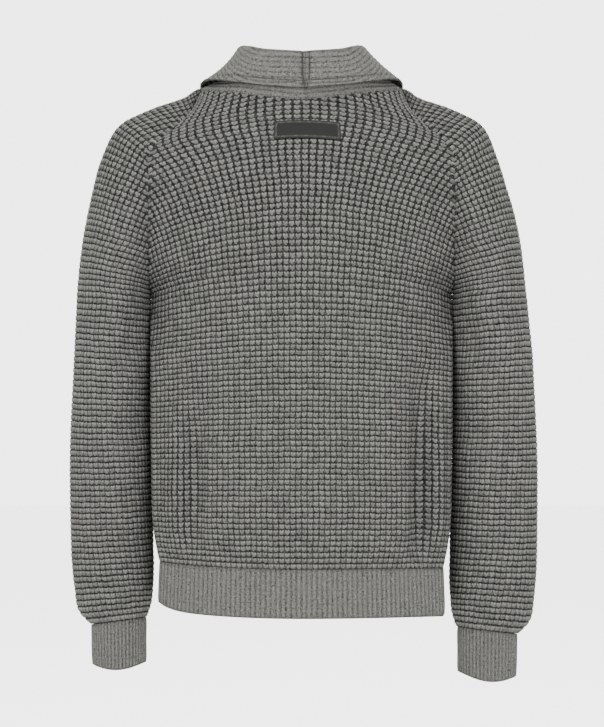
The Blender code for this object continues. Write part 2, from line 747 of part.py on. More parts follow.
def build_button(number, height, look, collection):
    """A turned button with a raised rim and a dished middle, lying on the left band."""
    stations = collar_stations("left")
    stations = stations[stations > 7]
    middle = np.full(len(stations), BAND_MIDDLE)
    line, face = collar_point(stations, middle, "left", neckline("left"))
    lift = COLLAR_THICKNESS / 2 + COLLAR_RIB_RELIEF + 2 * SEAM_GAP
    base = [np.interp(-height, -line[:, 2], line[:, axis]) for axis in range(3)]
    ahead, behind = (np.interp(-height + step, -line[:, 2], line[:, 1]) for step in (9, -9))
    tilt = math.atan2(ahead - behind, 18)
    base[1] -= lift
    profile = (
        (0.0, BUTTON_THICKNESS - BUTTON_DISH),
        (BUTTON_RADIUS - BUTTON_RIM, BUTTON_THICKNESS - BUTTON_DISH),
        (BUTTON_RADIUS - BUTTON_RIM * 0.5, BUTTON_THICKNESS),
        (BUTTON_RADIUS - 0.6, BUTTON_THICKNESS - 0.4),
        (BUTTON_RADIUS, BUTTON_THICKNESS / 2),
        (BUTTON_RADIUS - 1.4, 0.0),
        (0.0, 0.0),
    )
    mesh = bpy.data.meshes.new("button_profile")
    mesh.from_pydata([(r * MM, 0, h * MM) for r, h in profile], [(k, k + 1) for k in range(6)], [])
    mesh.materials.append(look)
    made = bpy.data.objects.new("button_%d" % number, mesh)
    collection.objects.link(made)
    turn = made.modifiers.new("turned", "SCREW")
    turn.steps = 14
    turn.render_steps = 14
    turn.use_merge_vertices = True
    turn.merge_threshold = 0.00001
    turn.use_smooth_shade = True
    made.location = [c * MM for c in base]
    made.rotation_euler = (math.radians(90) + tilt, 0, 0)


def build_tab(look, collection):
    """The woven tab: made from the back's own points, moved out."""
    def surface(share, row):
        return back_point(share, row)
    middle_row = np.full(1, sum(TAB_ROWS) / 2)
    probe = np.linspace(-0.6, 0.6, 200)
    x = back_point(probe, np.full(200, middle_row[0]))[:, 0]
    ends = np.interp([TAB_MIDDLE - TAB_WIDTH / 2, TAB_MIDDLE + TAB_WIDTH / 2], x, probe)
    share, row = np.meshgrid(np.linspace(ends[0], ends[1], 9), np.linspace(*TAB_ROWS, 2),
                             indexing="ij")
    normal = -outward(surface, share, row, 0.01, 0.3)
    inner = surface(share, row) + normal * SEAM_GAP
    outer = surface(share, row) + normal * (SEAM_GAP + TAB_THICKNESS)
    wall("back_tab", outer[::-1], inner[::-1], look, collection)


def main():
    """Clear the scene and build every piece."""
    for old in list(bpy.data.objects):
        bpy.data.objects.remove(old, do_unlink=True)
    collection = bpy.data.collections.new("shawl_collar_cardigan")
    bpy.context.scene.collection.children.link(collection)
    waffle = material("waffle_knit_wool", (0.19, 0.19, 0.18), 0.9)
    rib = material("rib_knit_wool", (0.24, 0.24, 0.23), 0.9)
    horn = material("horn_button", (0.06, 0.05, 0.045), 0.35)
    tab = material("woven_tab", (0.035, 0.035, 0.035), 0.7)

    build_back(waffle, collection)
    for side in ("left", "right"):
        build_front(side, waffle, collection)
        build_sleeve(side, waffle, collection)
        build_cuff(side, rib, collection)
        build_collar(side, rib, collection)
    for part in ("back", "left", "right"):
        build_hem(part, rib, collection)
    for number, height in enumerate(BUTTON_HEIGHTS, start=1):
        build_button(number, height, horn, collection)
    build_tab(tab, collection)


main()
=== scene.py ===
"""The dressed cardigan: every knitted panel, rib and trim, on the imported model's own forms.

Lengths in the tables are millimetres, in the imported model's frame. The front faces -Y, and the
wearer's left is +X. A panel is a surface with two parameters, which are counted in the knitting's
own columns and rows, so each stitch cell lies where the knitting puts it.
"""

import math
from functools import partial

import bpy
import numpy as np
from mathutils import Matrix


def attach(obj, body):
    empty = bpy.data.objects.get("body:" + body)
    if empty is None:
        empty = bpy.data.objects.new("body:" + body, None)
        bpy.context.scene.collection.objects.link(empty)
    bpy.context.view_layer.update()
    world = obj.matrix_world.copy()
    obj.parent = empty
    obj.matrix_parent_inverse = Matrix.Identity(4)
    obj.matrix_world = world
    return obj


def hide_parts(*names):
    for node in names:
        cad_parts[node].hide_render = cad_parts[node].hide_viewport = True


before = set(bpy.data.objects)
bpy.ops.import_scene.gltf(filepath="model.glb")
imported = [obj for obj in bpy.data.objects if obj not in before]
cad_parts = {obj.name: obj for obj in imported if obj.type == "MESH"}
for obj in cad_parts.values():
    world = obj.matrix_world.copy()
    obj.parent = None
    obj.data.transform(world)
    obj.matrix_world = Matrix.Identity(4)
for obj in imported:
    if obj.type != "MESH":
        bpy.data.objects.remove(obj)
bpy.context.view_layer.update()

MM = 0.001

# cloth
WAFFLE_THICKNESS = 3.0
RIB_THICKNESS = 2.6
SEAM_GAP = 0.3
NECK_GAP = 0.9          # at the collar's seam, where the walls meet at an angle
CORNER_GAP = 0.7        # added at the front corner of the saddle, station 3
CORNER_SPREAD = 0.6
UNDERCUT = 1.6          # the inside of a wall stops this much further from its seam
ARCH_START = 0.45       # share of the half width over which a row stays level before it droops

BACK_HALF = 200.0       # the back's half width

# rows of knitting, counted from the top of the hem rib or of the cuff
UNDERARM_ROW = 52.0
BACK_NECK_ROW = 82.2
SHOULDER_NECK_ROW = 94.0
SLEEVE_UNDERARM_ROW = 58.0
SLEEVE_ROWS_AHEAD = SLEEVE_UNDERARM_ROW - UNDERARM_ROW
SLEEVE_NECK_ROW = SHOULDER_NECK_ROW + SLEEVE_ROWS_AHEAD
NECK_CURVE = 1.6        # power of the back neckline's rise from its middle to the shoulder
FRONT_TIP_ROW = 93.4    # the front panel ends here, where its neck edge meets the sleeve
BREAK_ROW = 50.0        # the collar's roll ends here, and the band goes on down

# ribs
RIB_PITCH = 6.1
HEM_RIBS_BACK = 62
HEM_RIBS_FRONT = 40
CUFF_RIBS = 46
HEM_HEIGHT_SIDE = 51.0
HEM_HEIGHT_BACK = 59.5
HEM_STEP = 0.5          # how far the rib lies inside the panel's own surface at its top
HEM_CORNER = 8          # power of the hem's rise towards the left side seam
HEM_TAPER = -1.6
HEM_RADIUS = 140.0
CUFF_GAP = 0.4          # between the sleeve and its cuff
CUFF_HEIGHT = 58.0
CUFF_INSET = {"left": 0.97, "right": 0.95}      # the cuff's width as a share of the sleeve's end
CUFF_LEAN = 6.5         # the cuff's lower end lies this much further forward

# collar and bands
COLLAR_THICKNESS = 3.2
COLLAR_RIB_RELIEF = 0.5
FOLD_RADIUS = 4.3
COLLAR_SEAM = -0.03     # the collar's centre back seam, as a share of the back neck's half width
BAND_WIDTH = 39.0
FREE_EDGE = 1.0         # the least cloth beyond the fold
EDGE_STEP = 0.2         # spacing of the points that are left over at the collar's free edge

# how far one band lies in front of the other, and how wide the fronts follow it
LAP = 2.9
LAP_FULL = 32.0
LAP_FADE = 85.0

BUTTON_COUNT = 5

FINE_STEPS = 400        # points by which a line's length is measured

# woven tab under the back neck
TAB_MIDDLE = -7.0
TAB_WIDTH = 80.0
TAB_ROWS = (74.1, 77.6)
TAB_THICKNESS = 1.2
TAB_HEIGHT = 24
TAB_POINTS = (61, 19)   # across and up


def table(columns, rows):
    """Turn rows of numbers into a dictionary with one array for each named column."""
    return dict(zip(columns.split(), np.array(rows, dtype=float).T))


def rows_of(data):
    """The rows of a table, each as its own numbers."""
    return zip(*data.values())


def clamp(values):
    """Hold values between 0 and 1."""
    return np.clip(values, 0, 1)


# the side seam from the hem rib to the underarm. It lies behind the body's widest line.
SAG_RIGHT = 8.0         # the right side seam hangs this much lower at the hem
SAG_ROWS = 34.0         # and level with the left again this many rows up
SIDE = table("row x y z", (
    (0, 173.4, 34, -574), (4, 178.4, 36, -549), (20, 183.0, 38, -447), (35, 184.0, 38, -352),
    (44, 186.0, 27, -295), (52, 187.7, 0, -243),
))

# the middle line of the back, carried on above the neck so that the rows stay parallel there,
# and the angle that a row turns through from the middle to the seam
BACK = table("row y z turn", (
    (0, 104, -577, 56), (4, 110, -549, 54), (20, 105, -442, 52), (35, 103, -340, 52),
    (44, 104, -278, 60), (52, 108, -218, 70), (62, 110, -143, 66), (72, 104, -72, 60),
    (78, 92.5, -34, 56), (82.2, 82, -9, 54), (88, 76, 32, 58), (94, 72, 76, 88),
))
BACK_SQUARENESS = 0.0   # how much fuller than an ellipse the rows are
FRONT_SQUARENESS = 0.035

# the middle line of the fronts, and the angle round the ring at which their front edge lies
FRONT = table("row y z turn edge", (
    (0, -106, -576, 103, 6.2), (4, -112, -550, 103, 6.2), (20, -108, -443, 103, 6.0),
    (35, -110, -342, 103, 6.0), (44, -114, -280, 99, 6.0), (52, -117.5, -226, 90, 6.4),
    (62, -118, -152, 80, 11.0), (72, -111, -84, 70, 19.5), (78, -102, -46, 66, 27.5),
    (86, -86, 0, 66, 41.5), (90, -76.5, 22, 69, 54.0), (94, -66, 44, 72, 72.0),
))

# the left sleeve: its outer line, the line between its two seams, and how deep it is.
# Below the underarm it is a tube and turns right round, to 180 degrees.
SLEEVE = table("row top_x top_y top_z mid_x mid_y mid_z half_x half_y half_z turn", (
    (0, 266.5, -36, -659, 196.0, -36, -650, 0, 36, 3, 180),
    (2, 281, -35, -644, 191.0, -35, -635, 0, 44, 3, 180),
    (6, 287.5, -32, -613, 187.5, -31, -607, 0, 49, 3, 180),
    (14, 290.5, -25, -553, 187.0, -22, -549, 0, 53, 2, 180),
    (26, 290.5, -15, -466, 188.6, -13, -464, 0, 57, 0, 180),
    (40, 286.5, -9, -364, 188.6, -7, -368, 0, 63, 0, 180),
    (50, 283, -7, -291, 188.4, -3, -299, 0, 68, 0, 180),
    (58, 279, -5, -232, 188.4, 0, -243, 0, 71, 1, 180),
    (62, 276, -5, -202, 188.4, 0, -222, 0, 70, 1, 152),
    (67, 270.5, -4, -164, 188.2, 0, -190, 0, 69, 2, 137),
    (73, 262, -4, -120, 188.0, 0, -150, 0, 66, 3, 124),
    (79, 249.5, -3, -74, 187.2, 0, -108, 0, 62, 4, 107),
    (84, 229, -3, -36, 182.6, -1, -76, 2, 61, 6, 92),
    (89, 192, -5, -15, 158.5, -7, -47, 2, 63, 5, 68),
    (95, 144.5, -14, 3.5, 134.5, -14, -21, 2, 63, 5, 50),
    (98, 132.5, -26, 13.5, 125.0, -25, -3, 6, 43, 8, 42),
    (100, 121, -35, 17, 118.0, -35, 7.5, 8, 31, 12, 42),
))

# how the sleeves differ from the left one: extra width at the outside below the underarm and
# near the cuff, less width at the cap, and extra length below
SLEEVE_FIT = {
    "left": {"widen": 0.0, "flare": 0.0, "flatten": 0.0, "lengthen": 0.0},
    "right": {"widen": 5.0, "flare": 3.0, "flatten": 5.0, "lengthen": 12.0},
}
CAP_ROW = 78.0
CAP_ROWS = 7.0

# the collar's fold line, by station: 0 is the centre back, 2 the back of the saddle, 3 its front,
# and 7.4 the place where the roll has run out and the band goes on
COLLAR_FOLD = table("station x y z", (
    (0.0, 0, 87, 46), (0.58, 45, 84, 49.5), (1.03, 62, 69, 54), (1.46, 70, 42, 56.5),
    (1.84, 73, 12, 57), (2.0, 73, -12, 56), (2.5, 73, -36, 53), (3.0, 73, -57, 46),
    (3.77, 69, -86, 22), (4.2, 63, -101, 0), (4.63, 56, -112, -28), (5.06, 44, -119, -56),
    (5.49, 31, -123, -88), (5.91, 17, -123, -122), (6.34, 3, -120, -158),
    (6.77, -9, -117.8, -193), (7.2, -15.5, -117, -225),
))

# from the fold to the free edge. The right half's fall ends higher, where it passes under the left
COLLAR_FALL_COLUMNS = "station x y z"
COLLAR_FALL_BACK = (
    (0.0, 0, 4, -41), (0.58, 11, 5, -40.5), (1.03, 28, 9, -39), (1.46, 44, 11, -36),
    (1.84, 52, 4, -35), (2.0, 54, 0, -33), (2.5, 56, -2, -32.5), (3.0, 58, -7, -38),
)

# how far the collar's rise is hollowed towards the neck, where it turns up from the shoulder
COLLAR_HOLLOW = table("station left right", (
    (0.0, 0, 0), (0.6, 0, 0), (1.1, 2, 1), (1.5, 5, 2), (2.0, 6, 2.5), (2.6, 5, 2), (3.4, 2, 1),
    (4.2, 0, 0), (13.0, 0, 0),
))
COLLAR_FALL = {
    "left": table(COLLAR_FALL_COLUMNS, COLLAR_FALL_BACK + (
        (3.77, 59, -11, -47), (4.2, 57, -10, -51), (4.63, 55, -8, -54), (5.06, 52, -6, -55),
        (5.49, 48, -7, -51), (5.91, 41, -9, -43), (6.34, 32, -10, -31), (6.77, 20, -9, -15),
        (7.2, 7, -8, -4), (7.4, 2, -5, -1),
    )),
    "right": table(COLLAR_FALL_COLUMNS, COLLAR_FALL_BACK + (
        (3.77, 57, -11, -45), (4.2, 52, -10, -46), (4.63, 46, -9, -44), (5.06, 36, -8, -36),
        (5.49, 20, -8, -20), (5.91, 5, -6, -4), (6.34, 2, -5, -1),
    )),
}
FALL_GONE = {"left": 7.2, "right": 5.91}
FALL_FADE = 0.28        # stations over which the last of the roll opens out flat
ROLL_STATION, HEM_STATION, LAST_STATION = 7.4, 12, 13   # the roll's end, the band's and the rib's
BACK_POINTS, SADDLE_POINTS, FRONT_POINTS = 40, 12, 90   # points along each stretch of the seam

# soft vertical troughs in the lower back, where the hem rib draws the cloth in
BACK_FOLDS = table("x lean width depth bottom_row top_row", (
    (134, -0.01, 13, 6.0, 0, 34), (-150, 0.01, 15, 9.0, 0, 40), (62, 0.10, 26, 2.5, 2, 22),
    (-78, -0.08, 24, 2.0, 2, 18),
))

# shallow creases across the sleeves: row, angle round the sleeve, and their size
SLEEVE_FOLDS = table("row slant angle spread height depth", (
    (5, 2, 60, 70, 2.0, 3.0), (10, -3, -40, 60, 3.0, 2.5), (32, 6, 110, 55, 4.5, 4.0),
    (39, 5, -120, 50, 4.0, 4.0), (50, 8, 125, 45, 5.0, 4.5),
))


def along(data, column, at):
    """Read a column at any row number, on a smooth curve through the table's own rows."""
    knots = data[next(iter(data))]
    values = data[column]
    at = np.clip(at, knots[0], knots[-1])
    slopes = np.gradient(values, knots)
    left = np.clip(np.searchsorted(knots, at, side="right") - 1, 0, len(knots) - 2)
    width = knots[left + 1] - knots[left]
    t = (at - knots[left]) / width
    start = (1 + 2 * t) * (1 - t) ** 2 * values[left] + t * (1 - t) ** 2 * width * slopes[left]
    end = t * t * (3 - 2 * t) * values[left + 1] - t * t * (1 - t) * width * slopes[left + 1]
    return start + end


def along_line(data, at):
    """Read the point that a table has at any row number."""
    return np.stack([along(data, axis, at) for axis in "xyz"], axis=-1)


def straight(data, column, at):
    """Read a column by the table's first one, straight between its rows."""
    return np.interp(at, data[next(iter(data))], data[column])


def points(x, y, z):
    """Join three coordinate arrays into one array of points."""
    return np.stack(np.broadcast_arrays(x, y, z), axis=-1)


def unit(vectors):
    """Scale vectors to length one."""
    return vectors / np.linalg.norm(vectors, axis=-1, keepdims=True)


def sign_of(side):
    """+1 for the wearer's left, -1 for the right."""
    return 1.0 if side == "left" else -1.0


def across(angle, square):
    """Share of a ring's half width at an angle from its middle."""
    return (np.sin(angle) + square * np.sin(3 * angle)) / (1 - square)


def deep(angle, square):
    """Share of a ring's depth at an angle from its middle."""
    return (np.cos(angle) - square * np.cos(3 * angle)) / (1 - square)


def droop(share):
    """How far a row has dropped from its middle to its end: level first, then a straight slope."""
    full = math.hypot(1.0, ARCH_START) - ARCH_START
    return (np.hypot(share, ARCH_START) - ARCH_START) / full


def sleeve_point(share, row, side):
    """A point on a sleeve. share is -1 at the front seam, 0 on the outer line, 1 at the back."""
    whole = np.radians(along(SLEEVE, "turn", row))
    angle = share * whole
    reach = (1 - np.cos(angle)) / (1 - np.cos(whole))
    fit = SLEEVE_FIT[side]
    low = clamp((SLEEVE_UNDERARM_ROW - row) / SLEEVE_UNDERARM_ROW)
    top, mid, half = (
        [along(SLEEVE, part + axis, row) for axis in "xyz"] for part in ("top_", "mid_", "half_"))
    x, y, z = (top[k] + (mid[k] - top[k]) * reach + half[k] * np.sin(angle) for k in range(3))
    widen = fit["widen"] * clamp(low * 5) + fit["flare"] * low ** 3
    widen = widen - fit["flatten"] * np.exp(-((row - CAP_ROW) / CAP_ROWS) ** 2)
    x = x + widen * (1 - reach)
    z = z - fit["lengthen"] * low
    dent = 0.0
    degrees = np.degrees(angle)
    for at, slant, middle, spread, height, depth in rows_of(SLEEVE_FOLDS):
        turn = (degrees - middle) / spread
        rise = (row - at - slant * turn) / height
        dent = dent + depth * np.exp(-turn ** 2 - rise ** 2)
    centre_x = (top[0] + mid[0]) / 2
    away = np.hypot(x - centre_x, y - mid[1])
    x = x - dent * (x - centre_x) / away
    y = y - dent * (y - mid[1]) / away
    return points(x * sign_of(side), y, z)


def seam_point(row, end):
    """The body's outer edge: the side seam, and above it the sleeve's back or front seam."""
    lower = along_line(SIDE, row)
    on_sleeve = sleeve_point(end, np.maximum(row, UNDERARM_ROW) + SLEEVE_ROWS_AHEAD, "left")
    on_sleeve = on_sleeve + np.array([-0.6, 0.35 * end, -0.35])
    return np.where((row < UNDERARM_ROW)[..., None], lower, on_sleeve)


def body_ring(share, row, data, end, square, right):
    """A point on a body row, at a share of the angle from the middle to the seam.

    right is true where the point lies on the wearer's right.
    """
    seam = seam_point(row, end)
    turn = np.radians(along(data, "turn", row))
    angle = share * turn
    x = seam[..., 0] * across(angle, square) / across(turn, square)
    depth = (deep(angle, square) - deep(turn, square)) / (1 - deep(turn, square))
    y = seam[..., 1] + (along(data, "y", row) - seam[..., 1]) * depth
    middle = along(data, "z", row)
    z = middle + (seam[..., 2] - middle) * droop(share)
    low = clamp(1 - row / SAG_ROWS)
    return x, y, z - SAG_RIGHT * right * low * low * share ** 2


def back_point(share, row):
    """A point on the back. share is 0 at the middle and +1 at the wearer's left seam."""
    x, y, z = body_ring(np.abs(share), row, BACK, 1.0, BACK_SQUARENESS, share < 0)
    x = x * np.sign(share)
    for middle, lean, width, depth, low, high in rows_of(BACK_FOLDS):
        centre = middle + lean * middle * (row - low) / 10
        rise = clamp((row - low) / 5)
        fade = clamp((high - row) / 12)
        trough = np.exp(-((x - centre) / width) ** 2)
        trough = trough * clamp((1 - np.abs(share)) / 0.2)
        y = y - depth * trough * rise * fade * fade * (3 - 2 * fade)
    return points(x, y, z)


def back_neck_row(share):
    """The row at which the back neckline crosses the back, at a share of the half width."""
    return BACK_NECK_ROW + (SHOULDER_NECK_ROW - BACK_NECK_ROW) * np.abs(share) ** NECK_CURVE


def lap_shift(x, side):
    """How far a front lies forward of the middle surface, so that the bands pass each other."""
    fade = clamp((LAP_FADE - np.abs(x)) / (LAP_FADE - LAP_FULL))
    return -LAP * sign_of(side) * fade * fade * (3 - 2 * fade)


def front_edge(row):
    """The share of its half ring at which a front has its front edge."""
    return along(FRONT, "edge", row) / along(FRONT, "turn", row)


def front_ring(share, row, side):
    """A point on a front's half ring. share is 0 in the middle and 1 at its side or sleeve seam."""
    x, y, z = body_ring(share, row, FRONT, -1.0, FRONT_SQUARENESS, side == "right")
    return points(x * sign_of(side), y + lap_shift(x, side), z)


def front_point(share, row, side):
    """A point on a front. share is 0 at its front edge and 1 at its side or sleeve seam."""
    edge = front_edge(row)
    return front_ring(edge + (1 - edge) * share, row, side)


def hem_point(share, drop, part):
    """A point on the hem rib. share is the panel's own above it, drop is 0 at the rib's top."""
    longer = HEM_HEIGHT_BACK - HEM_HEIGHT_SIDE
    if part == "back":
        top = back_point(share, np.zeros_like(share))
        height = HEM_HEIGHT_BACK - longer * clamp(share) ** HEM_CORNER
    else:
        top = front_point(share, np.zeros_like(share), part)
        height = HEM_HEIGHT_SIDE + longer * (part == "right") * clamp(share) ** 4
    inset = 1 - (HEM_STEP + HEM_TAPER * drop) / HEM_RADIUS
    z = top[..., 2] - SEAM_GAP - (height - SEAM_GAP) * drop
    return points(top[..., 0] * inset, top[..., 1] * inset, z)


def cuff_point(angle, drop, side):
    """A point on a cuff. angle runs round it, drop is 0 at its top."""
    edge = sleeve_point(angle / math.pi, np.zeros_like(angle), side)
    centre = (sleeve_point(0.0, np.array(0.0), side) + sleeve_point(1.0, np.array(0.0), side)) / 2
    inset = CUFF_INSET[side] - 0.015 * drop
    x = centre[0] + (edge[..., 0] - centre[0]) * inset
    y = centre[1] + (edge[..., 1] - centre[1]) * inset - CUFF_LEAN * drop
    z = edge[..., 2] - CUFF_GAP - (CUFF_HEIGHT - CUFF_GAP) * drop
    return points(x, y, z)


def neckline(side):
    """The collar's seam line, from the centre back to the hem, with its station numbers."""
    sign = sign_of(side)
    share = np.linspace(COLLAR_SEAM * sign, 1.0, BACK_POINTS)
    back = back_point(share * sign, back_neck_row(share))
    back[:, 0] *= sign
    over = np.linspace(0.9, -0.9, SADDLE_POINTS)
    saddle = sleeve_point(over, np.full(SADDLE_POINTS, SLEEVE_NECK_ROW), "left")
    rows = np.linspace(FRONT_TIP_ROW, 0.0, FRONT_POINTS)
    front = front_point(np.zeros(FRONT_POINTS), rows, side)
    front[:, 0] *= sign
    drop = np.linspace(0.05, 1.0, SADDLE_POINTS)
    hem = hem_point(np.zeros(SADDLE_POINTS), drop, side)
    hem[:, 0] *= sign
    stations = np.concatenate([
        back_station(share, sign),
        np.linspace(2.05, 2.95, SADDLE_POINTS),
        front_station(rows),
        HEM_STATION + drop,
    ])
    return stations, np.concatenate([back, saddle, front, hem])


def back_station(share, sign):
    """The station number at a share of the back neck."""
    start = COLLAR_SEAM * sign
    return 2 * (share - start) / (1 - start)


def front_station(row):
    """The station number at a row of the front's edge."""
    return np.interp(row, [0, BREAK_ROW, FRONT_TIP_ROW], [HEM_STATION, ROLL_STATION, 3.0])


def collar_frame(station, side, seam):
    """The collar's cross section at a station: its seam, the two directions of its plane, the
    length of the stand, the angle that the fold turns and the length of the fall.
    """
    stations, line = seam
    start = np.stack([np.interp(station, stations, line[:, k]) for k in range(3)], axis=-1)
    fold = along_line(COLLAR_FOLD, station)
    fold[..., 0] += line[0, 0] * clamp(1 - station)
    fold[..., 1] += lap_shift(fold[..., 0], side)
    band = clamp((station - COLLAR_FOLD["station"][-1]) / 0.2)[..., None]
    fold = fold * (1 - band) + (start - np.array([BAND_WIDTH, 0, 0])) * band
    fall = along_line(COLLAR_FALL[side], station)
    up = unit(fold - start)
    edge = fold + fall - start
    along_up = np.sum(edge * up, axis=-1)
    out = edge - up * along_up[..., None]
    aside = np.linalg.norm(out, axis=-1)
    rolled = clamp((FALL_GONE[side] - station) / FALL_FADE + 1)
    radius = FOLD_RADIUS * rolled
    stand = np.linalg.norm(fold - start, axis=-1) - radius
    reach = np.maximum(np.hypot(along_up - stand, aside - radius), radius + 0.01)
    turn = np.arctan2(aside - radius, along_up - stand) + np.arcsin(radius / reach)
    turn = turn * rolled
    fall = np.sqrt(reach ** 2 - radius ** 2) * rolled + FREE_EDGE
    return start, up, unit(out), stand, turn, fall


def collar_point(station, length, side, seam):
    """A point on the collar or band: length is measured across it from its seam.

    The cloth leaves the seam straight, turns round an arc at the fold, and goes on straight.
    Returns the point and the direction of the cloth's face.
    """
    start, up, out, stand, turn, _ = collar_frame(station, side, seam)
    on_arc = np.clip((length - stand) / FOLD_RADIUS, 0, turn)
    beyond = np.maximum(length - stand - FOLD_RADIUS * turn, 0)
    run = np.minimum(length, stand) + FOLD_RADIUS * np.sin(on_arc) + beyond * np.cos(turn)
    lift = FOLD_RADIUS * (1 - np.cos(on_arc)) + beyond * np.sin(turn)
    rise = clamp(run / (stand + FOLD_RADIUS))
    hollow = straight(COLLAR_HOLLOW, side, station)
    lift = lift - hollow * 4 * rise * (1 - rise) - WAFFLE_THICKNESS / 2
    gap = NECK_GAP + CORNER_GAP * np.exp(-((station - 3) / CORNER_SPREAD) ** 2)
    place = start + up * (run + gap)[..., None] + out * lift[..., None]
    face = out * np.cos(on_arc)[..., None] - up * np.sin(on_arc)[..., None]
    flip = np.array([sign_of(side), 1, 1])
    return place * flip, face * flip


def collar_width(station, side, seam):
    """The cloth's whole length across the collar at a station."""
    _, _, _, stand, turn, fall = collar_frame(station, side, seam)
    return stand + FOLD_RADIUS * turn + fall


def outward(surface, a, b, step_a, step_b):
    """The direction that a surface faces at its two parameters, by small differences."""
    along_a = surface(a + step_a, b) - surface(a - step_a, b)
    along_b = surface(a, b + step_b) - surface(a, b - step_b)
    return unit(np.cross(along_a, along_b))


def even_steps(surface, start, stop, count):
    """Parameters between two ends, so that the points lie evenly along a surface's first line."""
    fine = np.linspace(start, stop, FINE_STEPS)
    line = surface(fine, 0 * fine)
    length = np.concatenate([[0], np.cumsum(np.linalg.norm(np.diff(line, axis=0), axis=1))])
    return np.interp(np.linspace(0, length[-1], count), length, fine)


# the waffle's own grid: how many columns lie between a panel's middle line and its seam
BACK_COLUMNS = table("row count", (
    (0, 29), (40, 29), (52, 31), (57, 28), (62, 26.3), (67, 24), (72, 21.2), (78, 17.8),
    (82, 15.6), (88, 14.8), (92, 15.2), (96, 15.6),
))
FRONT_COLUMNS = table("row count", (
    (0, 39), (40, 39), (52, 35), (57, 30), (62, 27), (67, 24.5), (72, 22), (78, 19.5), (82, 17.5),
    (88, 16), (96, 14),
))
SLEEVE_COLUMNS = table("row count", (
    (0, 21.6), (2, 22), (6, 22.8), (14, 24), (26, 25), (40, 26), (58, 27.5), (62, 23), (67, 19),
    (73, 16.5), (79, 14), (84, 12), (89, 9.5), (95, 6.5), (98, 4.6), (102, 3.5),
))
CELL_COLUMNS = (0.0, 0.25, 0.5, 0.75)       # where a cell has its points, across and upwards
CELL_ROWS = (0.0, 0.22, 0.55, 0.85)
SEAM_ROWS = 0.03        # a panel's first and last rows stop this much short
SEAM_REACH = 0.07       # its sides reach this many columns over the seam, where they are sewn
CROWD_FROM, CROWD = 88, 0.55    # rows from here on are finer towards the shoulders, by this much
SELVEDGE = 0.45         # the edge's stitches are one half column, a plain light line of them

# a cell's height, upwards from its lower edge: on its middle line, on its flank and between cells
CELL_RELIEF = table("rise middle flank gap", (
    (0.0, -0.6, -0.7, -1.0), (0.22, 0.6, -0.05, -1.0), (0.55, 0.85, 0.6, -0.9),
    (0.85, 0.5, 0.85, -0.6), (1.0, -0.6, -0.7, -1.0),
))
RELIEF = 0.9            # the height of a cell's relief
CELL_SIZE = (7.5, 5.5)  # a cell's width and height, for what is drawn on it
# a pull opens the cells' gaps and deepens their painted shade
PULL_ROWS = (55, 75)    # a panel's two pulls hold below and above these rows
SLEEVE_PULL = (0.6, 1.15)
RELIEF_FADE = 0.25      # cells over which the relief dies away towards a seam
CHANCES = 128           # cells after which their chance heights repeat
ROW_SAMPLES = 331       # points by which a row's length is measured
ROW_REACH = 1.1         # the rows are measured this far, past a seam at 1
READ_REACH = 1.08       # and read this far
TOP_PASSES = 30         # rounds that find the row at which a column meets the panel's top
SHARP_ANGLE = 80        # degrees from which an edge is drawn sharp

RIB_POINTS = 8          # points across one rib
RIB_HEIGHT = 1.5
RIB_LEVELS = 18         # points up a cuff or a hem rib
CUFF_HANG = {"left": (6.5, 6.0), "right": (3.0, 8.0)}    # the mouth's lift and its sag
COLLAR_POINTS = 6       # points across one rib of the collar
COLLAR_STATIONS = 190
CENTRE_SCALE = 65       # millimetres to a station beside the centre back
CENTRE_ROWS = (0, 1.2, 2.4, 3.2, 4.0, 4.8, 5.6, 6.8)    # rows of points there, in millimetres
STITCHES = 12           # the rib's stitches to a station
NECK_TUCK = 2.4         # the collar's first edge reaches this much nearer its seam
LINKING = 7.4           # the linked row lies this far from the collar's free edge
CENTRE_LAP = -0.005     # each half ends this far past the centre, where the seam binds it
# the grooves beside the collar's centre back: how far out they lie, by share of its width
CENTRE_GROOVE = table("share aside", (
    (0.0, 0.5), (0.4, 0.5), (0.52, 3.1), (0.85, 3.1), (1.0, 1.2),
))

# soft folds in the back: the valley's column, its rows, its depth and its width in columns
FOLDS = table("column low high depth width", (
    (19.9, 1, 36, 8.0, 2.2), (-22.4, 0, 42, 14.5, 2.1),
))

# a fold's pull also deepens the painted shade in the gaps beside it
FOLD_PULL = 0.4         # how far a fold opens the gaps between cells

# the dark tone is painted shade at the bottom of the stitches; the light one is the yarn on their
# tops
WAFFLE_DARK, WAFFLE_LIGHT = "080808", "5a5a57"
RIB_DARK, RIB_LIGHT = "0d0d0d", "51514e"
TAPE_DARK, TAPE_LIGHT, TAPE_THREAD = "080808", "1a1a19", "3e3e3c"
HORN_DARK, HORN_LIGHT = "0f0c0a", "2b211a"
WIDE_CELL = (5.2, 8.8)      # a cell's width where its gaps are closed, and where they stand open

TOP_LIFT = 1.0          # the tab lies this far out, on the tops of the stitches
STITCH_INSET = 2.2      # the tab's sewing thread runs this far inside its border

# camera, floor and lights, in metres
CAMERA_PLACE = (-0.0006, 2.7, -0.3294)
CAMERA_LENS = 107.0
FLOOR_HALF = 9
FLOOR_Z = -1.1
WORLD_STRENGTH = 4.15
LIGHT_AIM = (0, 0, -0.3)
LIGHTS = (      # name, place, size and power
    ("key", (0.9, 2.4, 1.3), 1.0, 88),
    ("fill", (-0.9, 2.5, -0.1), 1.4, 40),
    ("front", (-0.5, -2.4, 1.7), 1.2, 60),
)


def put(name, data):
    """A new object in the scene."""
    made = bpy.data.objects.new(name, data)
    bpy.context.scene.collection.objects.link(made)
    return made


def new_material(name, roughness, shine):
    """A Principled material with its roughness and specular level, its tree and its shader."""
    made = bpy.data.materials.new(name)
    made.use_nodes = True
    shader = made.node_tree.nodes["Principled BSDF"]
    shader.inputs["Roughness"].default_value = roughness
    shader.inputs["Specular IOR Level"].default_value = shine
    return made, made.node_tree, shader


